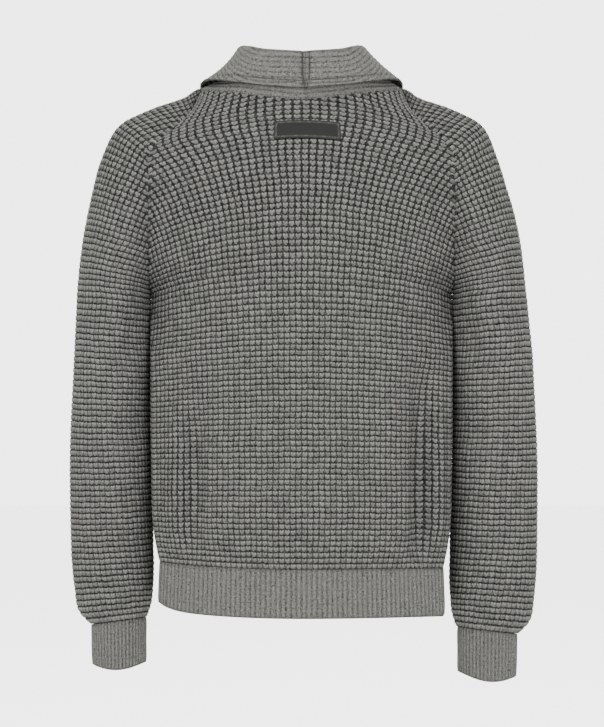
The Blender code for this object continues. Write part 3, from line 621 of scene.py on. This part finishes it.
def colour(code):
    """An sRGB hex value as linear red, green and blue."""
    parts = np.array([int(code[k:k + 2], 16) for k in (0, 2, 4)]) / 255
    linear = np.where(parts <= 0.04045, parts / 12.92, ((parts + 0.055) / 1.055) ** 2.4)
    return (*linear.tolist(), 1.0)


def add(tree, kind, *values, take=0, **settings):
    """Add a node, set its settings by name, and link or set its inputs in their order.

    A value is a socket, a number or colour, or None to leave that input as it is. Returns one of
    the node's outputs, the first unless take says another.
    """
    made = tree.nodes.new("ShaderNode" + kind)
    for key, value in settings.items():
        setattr(made, key, value)
    inputs = [socket for socket in made.inputs if socket.enabled]
    for socket, value in zip(inputs, values):
        if isinstance(value, bpy.types.NodeSocket):
            tree.links.new(value, socket)
        elif value is not None:
            socket.default_value = value
    return [socket for socket in made.outputs if socket.enabled][take]


def calc(tree, operation, *values, **settings):
    """Add a Math node."""
    return add(tree, "Math", *values, operation=operation, **settings)


def remap(tree, value, low, high, start, stop, kind="LINEAR"):
    """Add a node that turns the range from low to high into start to stop."""
    return add(tree, "MapRange", value, low, high, start, stop, interpolation_type=kind)


def mix(tree, level, dark, light):
    """Mix two colours, each a hex value or a socket."""
    dark, light = (colour(tone) if isinstance(tone, str) else tone for tone in (dark, light))
    return add(tree, "Mix", level, dark, light, data_type="RGBA")


def knit_place(tree):
    """The knitting's own place of a point, whole and as its column and row."""
    knit = add(tree, "UVMap", uv_map="knit")
    x = add(tree, "SeparateXYZ", knit)
    return knit, x, x.node.outputs[1]


def finish(tree, shader, tone, height, strength, reach):
    """Link a material's colour, and its bump by the height given."""
    tree.links.new(tone, shader.inputs["Base Color"])
    bump = add(tree, "Bump", strength, reach, None, height)
    tree.links.new(bump, shader.inputs["Normal"])


def waffle_wool():
    """Heavy wool in waffle stitch, with a flecked grey yarn.

    Each cell is a raised tooth, wide at its top with two bright upper corners and rounded below,
    with a notch between them, a dark line under it and a dark gap on each side. The lighter top
    and the bright corners are painted highlight, and the dark notch, line and gaps are painted
    shade. The gaps stand open where the knit is pulled wide, and close where it hangs slack; wide
    gaps get deeper painted shade. The "shadow" attribute says how wide. A fleck is about 2 mm.
    """
    made, tree, shader = new_material("waffle_knit_wool", 0.95, 0.05)
    knit, x, y = knit_place(tree)
    place = add(tree, "TexCoord", take=3)
    wander = add(tree, "TexNoise", place, 260.0, 1.0, 0.5)
    wander = remap(tree, wander, 0.0, 1.0, -0.12, 0.12)
    x = calc(tree, "ADD", x, wander)
    y = calc(tree, "ADD", y, wander)
    wide = add(tree, "Attribute", take=2, attribute_name="shadow")
    gap = calc(tree, "PINGPONG", x, 0.5)
    rise = calc(tree, "FRACT", y)
    seam = calc(tree, "PINGPONG", y, 0.5)
    half = remap(tree, rise, -0.02, 0.55, 0.14, 0.41, "SMOOTHSTEP")
    least = calc(tree, "MULTIPLY_ADD", wide, -0.07, half)
    inside = calc(tree, "ADD", gap, least)
    inside = remap(tree, inside, 0.42, 0.58, 0.0, 1.0, "SMOOTHSTEP")
    # painted shade: the level in the gaps, darker the wider the knit is pulled
    hollow = remap(tree, wide, 0.0, 0.8, 0.34, 0.08)
    # painted light: each cell is lighter towards its top
    shine = remap(tree, rise, 0.1, 0.8, 0.44, 0.56, "SMOOTHSTEP")
    level = add(tree, "Mix", inside, hollow, shine, data_type="FLOAT")
    across = calc(tree, "MULTIPLY", gap, CELL_SIZE[0])
    upwards = calc(tree, "MULTIPLY", rise, CELL_SIZE[1])
    spot = add(tree, "CombineXYZ", across, upwards)
    corner = (0.24 * CELL_SIZE[0], 0.78 * CELL_SIZE[1], 0.0)
    away = add(tree, "VectorMath", spot, corner, operation="DISTANCE")
    # painted highlight on the cell's two upper corners
    corner_highlight = remap(tree, away, 0.3, 1.3, 0.36, 0.0, "SMOOTHSTEP")
    level = calc(tree, "ADD", level, corner_highlight)
    top = (0.5 * CELL_SIZE[0], CELL_SIZE[1], 0.0)
    away = add(tree, "VectorMath", spot, top, operation="DISTANCE")
    # painted shade in the notch at the top middle of the cell
    notch = remap(tree, away, 0.4, 1.5, -0.45, 0.0, "SMOOTHSTEP")
    level = calc(tree, "ADD", level, notch)
    # painted shade along the line under each row, darker where the cells are pulled wide
    depth = remap(tree, wide, 0.3, 1.0, 0.14, 0.6)
    line = remap(tree, seam, 0.06, 0.22, depth, 1.0, "SMOOTHSTEP")
    level = calc(tree, "MULTIPLY", level, line)
    cell = add(tree, "VectorMath", knit, operation="FLOOR")
    chance = add(tree, "TexWhiteNoise", cell, noise_dimensions="2D")
    chance = remap(tree, chance, 0.0, 1.0, 0.78, 1.12)
    level = calc(tree, "MULTIPLY", level, chance)
    # painted shade: cells pulled wide are a little darker all over
    wide_shade = remap(tree, wide, 0.0, 1.0, 1.0, 0.92)
    level = calc(tree, "MULTIPLY", level, wide_shade)
    fleck = add(tree, "TexNoise", place, 520.0, 2.0, 0.7)
    fleck = remap(tree, fleck, 0.3, 0.7, -0.18, 0.18)
    level = calc(tree, "ADD", level, fleck, use_clamp=True)
    tone = mix(tree, level, WAFFLE_DARK, WAFFLE_LIGHT)
    finish(tree, shader, tone, level, 0.5, 0.0006)
    return made


def rib_wool():
    """The same yarn in rib: rounded ridges of small stacked stitches, marled light and dark.

    A fleck is about 1 mm. The grooves between the ridges are darkened as painted shade, and the
    "shadow" attribute paints shade on the linked row and the seams.
    """
    made, tree, shader = new_material("rib_knit_wool", 0.95, 0.05)
    _, x, y = knit_place(tree)
    groove = calc(tree, "PINGPONG", x, 0.5)
    # painted shade: the grooves between the ribs are darker
    level = remap(tree, groove, 0.0, 0.4, 0.36, 0.64, "SMOOTHSTEP")
    slant = calc(tree, "MULTIPLY_ADD", groove, 1.2, y)
    loop = calc(tree, "PINGPONG", slant, 0.5)
    loop = remap(tree, loop, 0.0, 0.3, 0.84, 1.04, "SMOOTHSTEP")
    level = calc(tree, "MULTIPLY", level, loop)
    height = level
    place = add(tree, "TexCoord", take=3)
    fleck = add(tree, "TexNoise", place, 1000.0, 1.0, 0.6)
    fleck = remap(tree, fleck, 0.3, 0.7, -0.55, 0.55)
    level = calc(tree, "ADD", level, fleck, use_clamp=True)
    shade = add(tree, "Attribute", take=2, attribute_name="shadow")
    shade = remap(tree, shade, 0.0, 1.0, 1.0, 0.2)
    level = calc(tree, "MULTIPLY", level, shade)
    tone = mix(tree, level, RIB_DARK, RIB_LIGHT)
    finish(tree, shader, tone, height, 0.4, 0.0004)
    return made


def woven_tape():
    """Dark woven tape: fine crossing threads, with a paler line of sewing stitches round it."""
    made, tree, shader = new_material("woven_cotton_tape", 0.8, 0.1)
    _, x, y = knit_place(tree)
    warp = calc(tree, "PINGPONG", x, 0.45)
    weft = calc(tree, "PINGPONG", y, 0.45)
    weave = calc(tree, "ADD", warp, weft)
    level = remap(tree, weave, 0.0, 0.9, 0.15, 0.6)
    thread = add(tree, "Attribute", take=2, attribute_name="shadow")
    tone = mix(tree, level, TAPE_DARK, TAPE_LIGHT)
    tone = mix(tree, thread, tone, TAPE_THREAD)
    finish(tree, shader, tone, level, 0.4, 0.0003)
    return made


def horn():
    """Polished dark horn: brown streaks in near black."""
    made, tree, shader = new_material("polished_horn", 0.35, 0.12)
    place = add(tree, "TexCoord", take=3)
    long = add(tree, "Mapping", place, None, None, (260.0, 260.0, 60.0))
    streak = add(tree, "TexNoise", long, 1.0, 3.0, 0.6)
    level = remap(tree, streak, 0.35, 0.7, 0.0, 1.0)
    tone = mix(tree, level, HORN_DARK, HORN_LIGHT)
    tree.links.new(tone, shader.inputs["Base Color"])
    return made


def even_rows(surface, last_row, start):
    """For each whole row, the surface's share at even steps of length along the row.

    The length is counted from share 0. It is 1 at share 1, and -1 at share -1. Returns the table
    of shares, and how far along each row a share lies.
    """
    share = np.linspace(start * ROW_REACH, ROW_REACH, ROW_SAMPLES)
    rows = np.arange(0.0, last_row + 2)
    line = surface(*np.meshgrid(share, rows, indexing="ij"))
    length = np.cumsum(np.linalg.norm(np.diff(line, axis=0), axis=-1), axis=0)
    length = np.concatenate([np.zeros((1, len(rows))), length])
    part = np.linspace(start * READ_REACH, READ_REACH, ROW_SAMPLES)
    shares, parts = [], []
    for k in range(len(rows)):
        zero, end = np.interp([0, 1], share, length[:, k])
        begin = np.interp(-1, share, length[:, k]) if start < 0 else zero - 1
        place = length[:, k] - zero
        place = np.where(place > 0, place / (end - zero), place / (zero - begin))
        shares.append(np.interp(part, place, share))
        parts.append(place)
    return part, np.array(shares).T, share, np.array(parts).T


def read_grid(along_first, values, first, row):
    """Read a table at (its first parameter, row number), straight between its entries."""
    first, row = np.broadcast_arrays(first, row)
    place = (first - along_first[0]) / (along_first[1] - along_first[0])
    place = np.clip(place, 0, values.shape[0] - 1.001)
    level = np.clip(row, 0, values.shape[1] - 1.001)
    i, k = place.astype(int), level.astype(int)
    f, g = place - i, level - k
    low = values[i, k] * (1 - f) + values[i + 1, k] * f
    high = values[i, k + 1] * (1 - f) + values[i + 1, k + 1] * f
    return low * (1 - g) + high * g


def ridge(count):
    """A rib's rounded height, 0 in its grooves and 1 on its ridge, at a count of ribs."""
    return 0.5 - 0.5 * np.cos(2 * math.pi * count)


def cell_height(column, row, wide, seed):
    """The waffle's height, -1 to 1: a tooth between hollows, each cell a little different.

    Where the knit is pulled wide, its teeth run together into a rib.
    """
    rise = row % 1
    aside = 2 * np.abs(column % 1 - 0.5)
    middle, flank, gap = (straight(CELL_RELIEF, name, rise) for name in ("middle", "flank", "gap"))
    inner = middle + (flank - middle) * aside * 2
    outer = flank + (gap - flank) * (aside * 2 - 1)
    height = np.where(aside < 0.5, inner, outer)
    joint = np.interp(rise, (0, 0.3, 0.8, 1), (1, 0, 0, 1)) * clamp(1.6 - 2 * aside)
    height = height + joint * wide
    chance = np.random.default_rng(seed).uniform(0.72, 1.2, (CHANCES, CHANCES))
    cell = np.floor(column).astype(int) % CHANCES, np.floor(row).astype(int) % CHANCES
    return height * chance[cell]


def shell(name, outer, inner, outer_uv, inner_uv, flip, look, shadow):
    """A closed wall from an outer and an inner grid of points, in millimetres.

    Both grids are indexed [across, along], and the inner one may be coarser. Points in one place
    become one vertex, so a grid may narrow to a line or close into a tube. The shadow is a pair of
    such grids, of the values that the material reads.
    """
    step = (outer.shape[0] - 1) // (inner.shape[0] - 1)
    rise = (outer.shape[1] - 1) // (inner.shape[1] - 1)
    places = np.concatenate([outer.reshape(-1, 3), inner.reshape(-1, 3)])
    uv = np.concatenate([outer_uv.reshape(-1, 2), inner_uv.reshape(-1, 2)])
    rounded = np.round(places, 3) + 0.0
    _, first, ids = np.unique(rounded, axis=0, return_index=True, return_inverse=True)
    ids = ids.ravel()
    over = np.arange(outer[..., 0].size).reshape(outer.shape[:2])
    under = over.size + np.arange(inner[..., 0].size).reshape(inner.shape[:2])
    loops, sizes = [], []

    def lay(polygons, turned):
        polygons = polygons[:, ::-1] if turned != flip else polygons
        corner = ids[polygons]
        kept = corner != np.roll(corner, 1, axis=1)
        whole = kept.sum(axis=1) >= 3
        loops.append(polygons[whole][kept[whole]])
        sizes.append(kept[whole].sum(axis=1))

    def skin(index, turned):
        corners = [index[:-1, :-1], index[1:, :-1], index[1:, 1:], index[:-1, 1:]]
        lay(np.stack(corners, axis=-1).reshape(-1, 4), turned)

    def rim(fine, coarse, each, turned, same=None):
        last = len(fine) - each
        ring = np.stack([fine[k:last + k:each] for k in range(each + 1)]
                        + [coarse[1:], coarse[:-1]], axis=-1)
        if same is not None:
            other = np.stack([same[k:last + k:each] for k in range(each + 1)], axis=-1)
            ring = ring[~np.all(ids[ring[:, :each + 1]] == ids[other], axis=1)]
        lay(ring, turned)

    skin(over, False)
    skin(under, True)
    rim(over[:, 0], under[:, 0], step, True)
    rim(over[:, -1], under[:, -1], step, False)
    rim(over[0], under[0], rise, False, over[-1])
    rim(over[-1], under[-1], rise, True, over[0])
    loops, sizes = np.concatenate(loops), np.concatenate(sizes)
    return place_mesh(name, places[first], ids[loops], sizes, uv[loops], look,
                      np.concatenate([grid.ravel() for grid in shadow])[first])


def place_mesh(name, places, corners, sizes, uv, look, shadow):
    """A mesh object from points in millimetres, polygons as one list of corners, and their UVs."""
    used, corners = np.unique(corners, return_inverse=True)
    mesh = bpy.data.meshes.new(name)
    mesh.vertices.add(len(used))
    mesh.vertices.foreach_set("co", (places[used] * MM).ravel())
    mesh.loops.add(len(corners))
    mesh.loops.foreach_set("vertex_index", corners.astype(np.int32))
    mesh.polygons.add(len(sizes))
    mesh.polygons.foreach_set("loop_start", (np.cumsum(sizes) - sizes).astype(np.int32))
    mesh.update(calc_edges=True)
    mesh.uv_layers.new(name="knit").data.foreach_set("uv", uv.ravel())
    mesh.attributes.new("shadow", "FLOAT", "POINT").data.foreach_set("value", shadow[used])
    mesh.materials.append(look)
    mesh.shade_smooth()
    mesh.set_sharp_from_angle(angle=math.radians(SHARP_ANGLE))
    return put(name, mesh)


def stand_for(made, node):
    """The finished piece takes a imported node's place, on the one body."""
    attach(made, "root")
    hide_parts(node)


def fold_shape(column, row, folds):
    """How far the folds push a panel out, and how much they open the gaps between its cells.

    A fold is a valley, with a roll between it and the side, where the gaps open and take deeper
    painted shade.
    """
    push, pull = 0.0 * (column + row), 0.0 * (column + row)
    if folds is not None:
        for middle, low, high, depth, width in rows_of(folds):
            lie = clamp((row - low) / (high - low))
            lie = np.sin(math.pi * lie ** 0.7) ** 1.2
            aside = (column - middle) * np.sign(middle) / width
            push = push + depth * lie * (0.5 * np.exp(-(aside - 1.7) ** 2) - np.exp(-aside ** 2))
            # painted shade: the pull opens the gaps beside the valley, and the material darkens
            # them by it
            pull = pull + FOLD_PULL * lie * np.exp(-((aside - 1.3) / 1.4) ** 2)
    return push, pull


def knit_panel(node, surface, columns, last_row, start, facing, look, edge=None, top=None,
               joined_row=-1.0, seed=1, folds=None, pull=(1.0, 1.0), crowd=CROWD):
    """A waffle panel on its own surface.

    A point's column number, divided by how many columns its row has, says how far along the row
    it lies by length. Beyond the panel's edges the numbers stop at the edge. The outside is
    raised by the cells' height, and the inside is plain.
    """
    part, shares, share_list, parts = even_rows(surface, last_row, start)
    rows = np.arange(shares.shape[1])
    count = straight(columns, "count", rows)
    if edge is None:
        low = -count
    else:
        low = count * np.array([np.interp(edge(r), share_list, parts[:, r]) for r in rows])

    def place(column, row):
        share = read_grid(part, shares, column / np.interp(row, rows, count), row)
        return surface(share, row)

    def limits(row, gap):
        gap = gap * (row > joined_row)
        return np.interp(row, rows, low) + gap, np.interp(row, rows, count) - gap

    def grid(places, levels, gap, aside):
        most = math.ceil(count.max())
        first = -most if start < 0 else 0
        column = (np.arange(first, most)[:, None] + np.array(places)).ravel()
        column = np.append(column, most)
        row = (np.arange(0, math.ceil(last_row))[:, None] + np.array(levels)).ravel()
        row = np.append(row, math.ceil(last_row))
        highest = np.full(len(column), last_row - gap)
        if top is not None:
            for _ in range(TOP_PASSES):
                level = np.interp(highest, rows, count)
                share = read_grid(part, shares, np.clip(column / level, -1, 1), highest)
                highest = 0.5 * highest + 0.5 * (top(share) - gap)
        row = np.clip(row[None, :], gap, highest[:, None])
        left, right = limits(row, aside)
        return np.clip(column[:, None], left, right), row, highest[:, None]

    def normal(column, row):
        ahead = place(column + 0.2, row) - place(column - 0.2, row)
        above = place(column, row + 0.1) - place(column, np.maximum(row - 0.1, 0))
        return facing * unit(np.cross(ahead, above))

    column, row, highest = grid(CELL_COLUMNS, CELL_ROWS, SEAM_ROWS, -SEAM_REACH)
    left, right = limits(row, -SEAM_REACH)
    border = np.minimum(np.minimum(column - left, right - column),
                        np.minimum(row - SEAM_ROWS, highest - row))
    fade = clamp(border / RELIEF_FADE)
    calm = clamp(border / 3)
    sway = 0.05 * np.sin(0.55 * row + 0.21 * column) + 0.04 * np.sin(1.7 * row - 0.4 * column)
    lift = 0.03 * np.sin(0.8 * column + 0.3 * row) + 0.03 * np.sin(2.1 * column + 0.13 * row)
    width = np.linalg.norm(place(column + 0.2, row) - place(column - 0.2, row), axis=-1) / 0.4
    closed, opened = WIDE_CELL
    # wide opens the gaps between cells, and the material darkens the gaps by it as painted shade
    wide = np.interp(row, PULL_ROWS, pull) * clamp((width - closed) / (opened - closed))
    push, pull = fold_shape(column, row, folds)
    wide = clamp(wide + pull)
    drawn = np.clip(column, left + SELVEDGE, right - SELVEDGE)
    far = clamp(np.abs(column) / np.interp(row, rows, count) * 2 - 0.7)
    drawn_row = row + crowd * far * np.maximum(row - CROWD_FROM, 0)
    height = cell_height(drawn, drawn_row, wide, seed) * fade * RELIEF
    height = height + push * clamp(border / 2)
    slack = 0.5 * np.sin(0.33 * column + 0.5) * np.sin(0.21 * row + 1.0) * calm
    outer = place(column + sway * calm, row + lift * calm)
    outer = outer + normal(column, row) * (height + slack)[..., None]
    plain_column, plain_row, _ = grid((0.0,), (0.0,), *[SEAM_ROWS + UNDERCUT / 8] * 2)
    inner = place(plain_column, plain_row)
    sunk = WAFFLE_THICKNESS - fold_shape(plain_column, plain_row, folds)[0]
    inner = inner - normal(plain_column, plain_row) * sunk[..., None]
    made = shell(node + "_knit", outer, inner, np.stack([drawn, drawn_row], axis=-1),
                 np.stack([plain_column, plain_row], axis=-1), facing < 0, look,
                 (wide, 0 * plain_row))
    stand_for(made, node)


def rib_piece(node, surface, low, high, ribs, facing, look):
    """A ribbed piece: ridges on its outside, and shallower ones between them on its inside."""
    share = even_steps(surface, low, high, ribs * RIB_POINTS + 1)
    drop = np.linspace(0, 1, RIB_LEVELS)
    share, drop = np.meshgrid(share, drop, indexing="ij")
    normal = facing * outward(surface, share, drop, 0.004, 0.01)
    count = np.arange(ribs * RIB_POINTS + 1)[:, None] / RIB_POINTS
    fade = clamp(np.minimum(drop, 1 - drop) * RIB_LEVELS / 1.5)
    wave = 0.12 * np.sin(9 * drop + 2.3 * np.floor(count)) + 0.1 * np.sin(1.7 * np.floor(count))
    raised = RIB_HEIGHT * (ridge(count) - 0.3) * (0.35 + 0.65 * fade) + wave * ridge(count)
    outer = surface(share, drop) + normal * raised[..., None]
    sunk = RIB_THICKNESS - 0.4 + 0.5 * (1 - ridge(count)) * fade
    inner = surface(share, drop) - normal * sunk[..., None]
    uv = np.stack(np.broadcast_arrays(count, drop * 11), axis=-1)
    shadow = clamp(1 - np.minimum(drop, 1 - drop) * RIB_LEVELS / 1.2) * 0.5
    made = shell(node + "_knit", outer, inner, uv, uv, facing < 0, look, (shadow, shadow))
    stand_for(made, node)


def collar_piece(side, look):
    """One half of the collar with its band, ribbed along its length on both sides.

    A linked row runs inside the free edge, and a groove runs beside the centre back seam.
    """
    seam = neckline(side)
    near = np.array(CENTRE_ROWS) / CENTRE_SCALE
    stations = np.concatenate([near, np.linspace(0.14, LAST_STATION, COLLAR_STATIONS)])
    widest = collar_width(stations, side, seam).max()
    count = COLLAR_POINTS * int(widest / RIB_PITCH) + 1
    order = np.arange(count)[None, :]
    wanted = order * (RIB_PITCH / COLLAR_POINTS)
    width = collar_width(stations, side, seam)[:, None]
    length = np.minimum(wanted, width - (count - 1 - order) * EDGE_STEP / 3)
    gap = np.zeros(len(stations))
    gap[0] = CENTRE_LAP
    station = (stations + gap)[:, None] + 0 * length
    place, face = collar_point(station, length - NECK_TUCK * (order == 0), side, seam)
    count_at = length / RIB_PITCH
    edge = clamp(np.minimum(width - length, length) / 2.5)
    linked = np.exp(-((width - length - LINKING) / 0.75) ** 2)
    aside = straight(CENTRE_GROOVE, "aside", length / width)
    centre = np.exp(-((station * CENTRE_SCALE - aside) / 0.7) ** 2)
    waver = 0.08 * np.sin(7.1 * station + 1.9 * np.floor(count_at))
    ribs = (COLLAR_RIB_RELIEF + 0.15) * ridge(count_at) * edge - 0.5 * np.maximum(linked, centre)
    thick = COLLAR_THICKNESS / 2
    outer = place + (thick - 0.1 + ribs + waver * edge)[..., None] * face
    back_ribs = COLLAR_RIB_RELIEF * ridge(count_at) * edge - 0.5 * np.maximum(linked, centre)
    inner = place - (thick - 0.2 + back_ribs)[..., None] * face
    uv = np.stack([count_at, station * STITCHES], axis=-1)
    shadow = np.maximum(linked, centre)
    under = clamp((length / width - 0.7) / 0.1)
    outer, inner, uv = (grid.transpose(1, 0, 2) for grid in (outer, inner, uv))
    made = shell("collar_%s_knit" % side, outer, inner, uv, uv, side == "right", look,
                 ((shadow * (1 - under)).T, shadow.T))
    stand_for(made, "collar_" + side)


def tab_piece(look):
    """The woven tab on the stitches' tops, sewn down with a line of stitches round it."""
    middle_row = sum(TAB_ROWS) / 2
    probe = np.linspace(-0.6, 0.6, 200)
    x = back_point(probe, np.full(200, middle_row))[:, 0]
    ends = np.interp([TAB_MIDDLE - TAB_WIDTH / 2, TAB_MIDDLE + TAB_WIDTH / 2], x, probe)
    across, up = TAB_POINTS
    share, row = np.meshgrid(np.linspace(*ends, across), np.linspace(*TAB_ROWS, up), indexing="ij")
    normal = -outward(back_point, share, row, 0.01, 0.3)
    across_mm, up_mm = np.meshgrid(np.linspace(0, TAB_WIDTH, across),
                                   np.linspace(0, TAB_HEIGHT, up), indexing="ij")
    border = np.minimum(np.minimum(across_mm, TAB_WIDTH - across_mm),
                        np.minimum(up_mm, TAB_HEIGHT - up_mm))
    sewn = np.exp(-((border - STITCH_INSET) / 0.6) ** 2)
    puff = 0.35 * clamp(border / 1.5) - 0.3 * sewn
    outer = back_point(share, row) + normal * (TOP_LIFT + TAB_THICKNESS - 0.3 + puff)[..., None]
    inner = back_point(share, row) + normal * TOP_LIFT
    uv = np.stack([across_mm, up_mm], axis=-1)
    dashes = sewn * (((across_mm + up_mm) % 3) < 2)
    made = shell("tab_woven", outer, inner, uv, uv, True, look, (dashes, 0 * dashes))
    stand_for(made, "back_tab")


def hanging_cuff(angle, drop, side):
    """A cuff whose mouth sags at the back of the wrist and lifts a little on its outer side."""
    ring = cuff_point(angle, drop, side)
    whole = cuff_point(np.linspace(-math.pi, math.pi, 60), np.ones(60), side)
    low, high = whole.min(axis=0), whole.max(axis=0)
    aside, back = np.moveaxis((2 * ring - low - high) / (high - low), -1, 0)[:2]
    aside = np.clip(aside * sign_of(side), -1, 1)
    back = np.clip(back, -1, 1)
    lift, sag = CUFF_HANG[side]
    ring[..., 2] += drop * (lift * (0.5 + 0.5 * aside) ** 2
                            - sag * (1 - aside ** 2) * (0.5 + 0.5 * back))
    return ring


def build_knit(waffle, rib):
    """The panels, cuffs, collar and hem rib."""
    knit_panel("back", back_point, BACK_COLUMNS, SHOULDER_NECK_ROW, -1.0, -1, waffle,
               top=back_neck_row, seed=11, folds=FOLDS)
    for number, side in enumerate(("left", "right")):
        facing = sign_of(side)
        knit_panel("front_" + side, partial(front_ring, side=side), FRONT_COLUMNS, FRONT_TIP_ROW,
                   0.0, facing, waffle, edge=front_edge, seed=21 + number)
        knit_panel("sleeve_" + side, partial(sleeve_point, side=side), SLEEVE_COLUMNS,
                   SLEEVE_NECK_ROW, -1.0, facing, waffle, joined_row=SLEEVE_UNDERARM_ROW,
                   seed=31 + number, pull=SLEEVE_PULL, crowd=0.0)
        rib_piece("cuff_" + side, partial(hanging_cuff, side=side), -math.pi, math.pi, CUFF_RIBS,
                  -facing, rib)
        collar_piece(side, rib)
    gap = SEAM_GAP / 2 / BACK_HALF
    for part, start, ribs, facing in (("back", gap - 1, HEM_RIBS_BACK, 1),
                                      ("left", gap, HEM_RIBS_FRONT, -1),
                                      ("right", gap, HEM_RIBS_FRONT, 1)):
        node = "hem_rib_back" if part == "back" else "hem_rib_front_" + part
        rib_piece(node, partial(hem_point, part=part), start, 1 - gap, ribs, facing, rib)


def build_buttons(look):
    """Give the five turned buttons their horn."""
    for number in range(1, BUTTON_COUNT + 1):
        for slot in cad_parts["button_%d" % number].material_slots:
            slot.material = look


def build_camera():
    """The camera stands behind the garment, level with its middle."""
    data = bpy.data.cameras.new("camera")
    data.lens = CAMERA_LENS
    data.sensor_width = 36.0
    camera = put("camera", data)
    camera.location = CAMERA_PLACE
    camera.rotation_euler = (math.radians(90), 0, math.radians(180))
    bpy.context.scene.camera = camera


def build_light(name, place, size, power):
    """A large soft square light, turned to the garment."""
    data = bpy.data.lights.new(name, "AREA")
    data.size = size
    data.energy = power
    light = put(name, data)
    light.location = place
    away = np.array(place) - np.array(LIGHT_AIM)
    light.rotation_euler = (math.acos(away[2] / np.linalg.norm(away)), 0,
                            math.atan2(away[1], away[0]) + math.pi / 2)


def build_studio():
    """A pale floor with soft light all round."""
    white, tree, shader = new_material("matte_studio_paint", 0.9, 0.1)
    shader.inputs["Base Color"].default_value = colour("f4f4f3")
    mesh = bpy.data.meshes.new("floor")
    corners = [(-1, -1), (1, -1), (1, 1), (-1, 1)]
    mesh.from_pydata([(FLOOR_HALF * x, FLOOR_HALF * y, FLOOR_Z) for x, y in corners], [],
                     [(0, 1, 2, 3)])
    mesh.materials.append(white)
    floor = put("floor", mesh)
    world = bpy.data.worlds.new("studio")
    world.use_nodes = True
    background = world.node_tree.nodes["Background"]
    background.inputs["Color"].default_value = (1, 1, 1, 1)
    background.inputs["Strength"].default_value = WORLD_STRENGTH
    bpy.context.scene.world = world
    for light in LIGHTS:
        build_light(*light)


build_camera()
build_studio()
build_knit(waffle_wool(), rib_wool())
tab_piece(woven_tape())
build_buttons(horn())
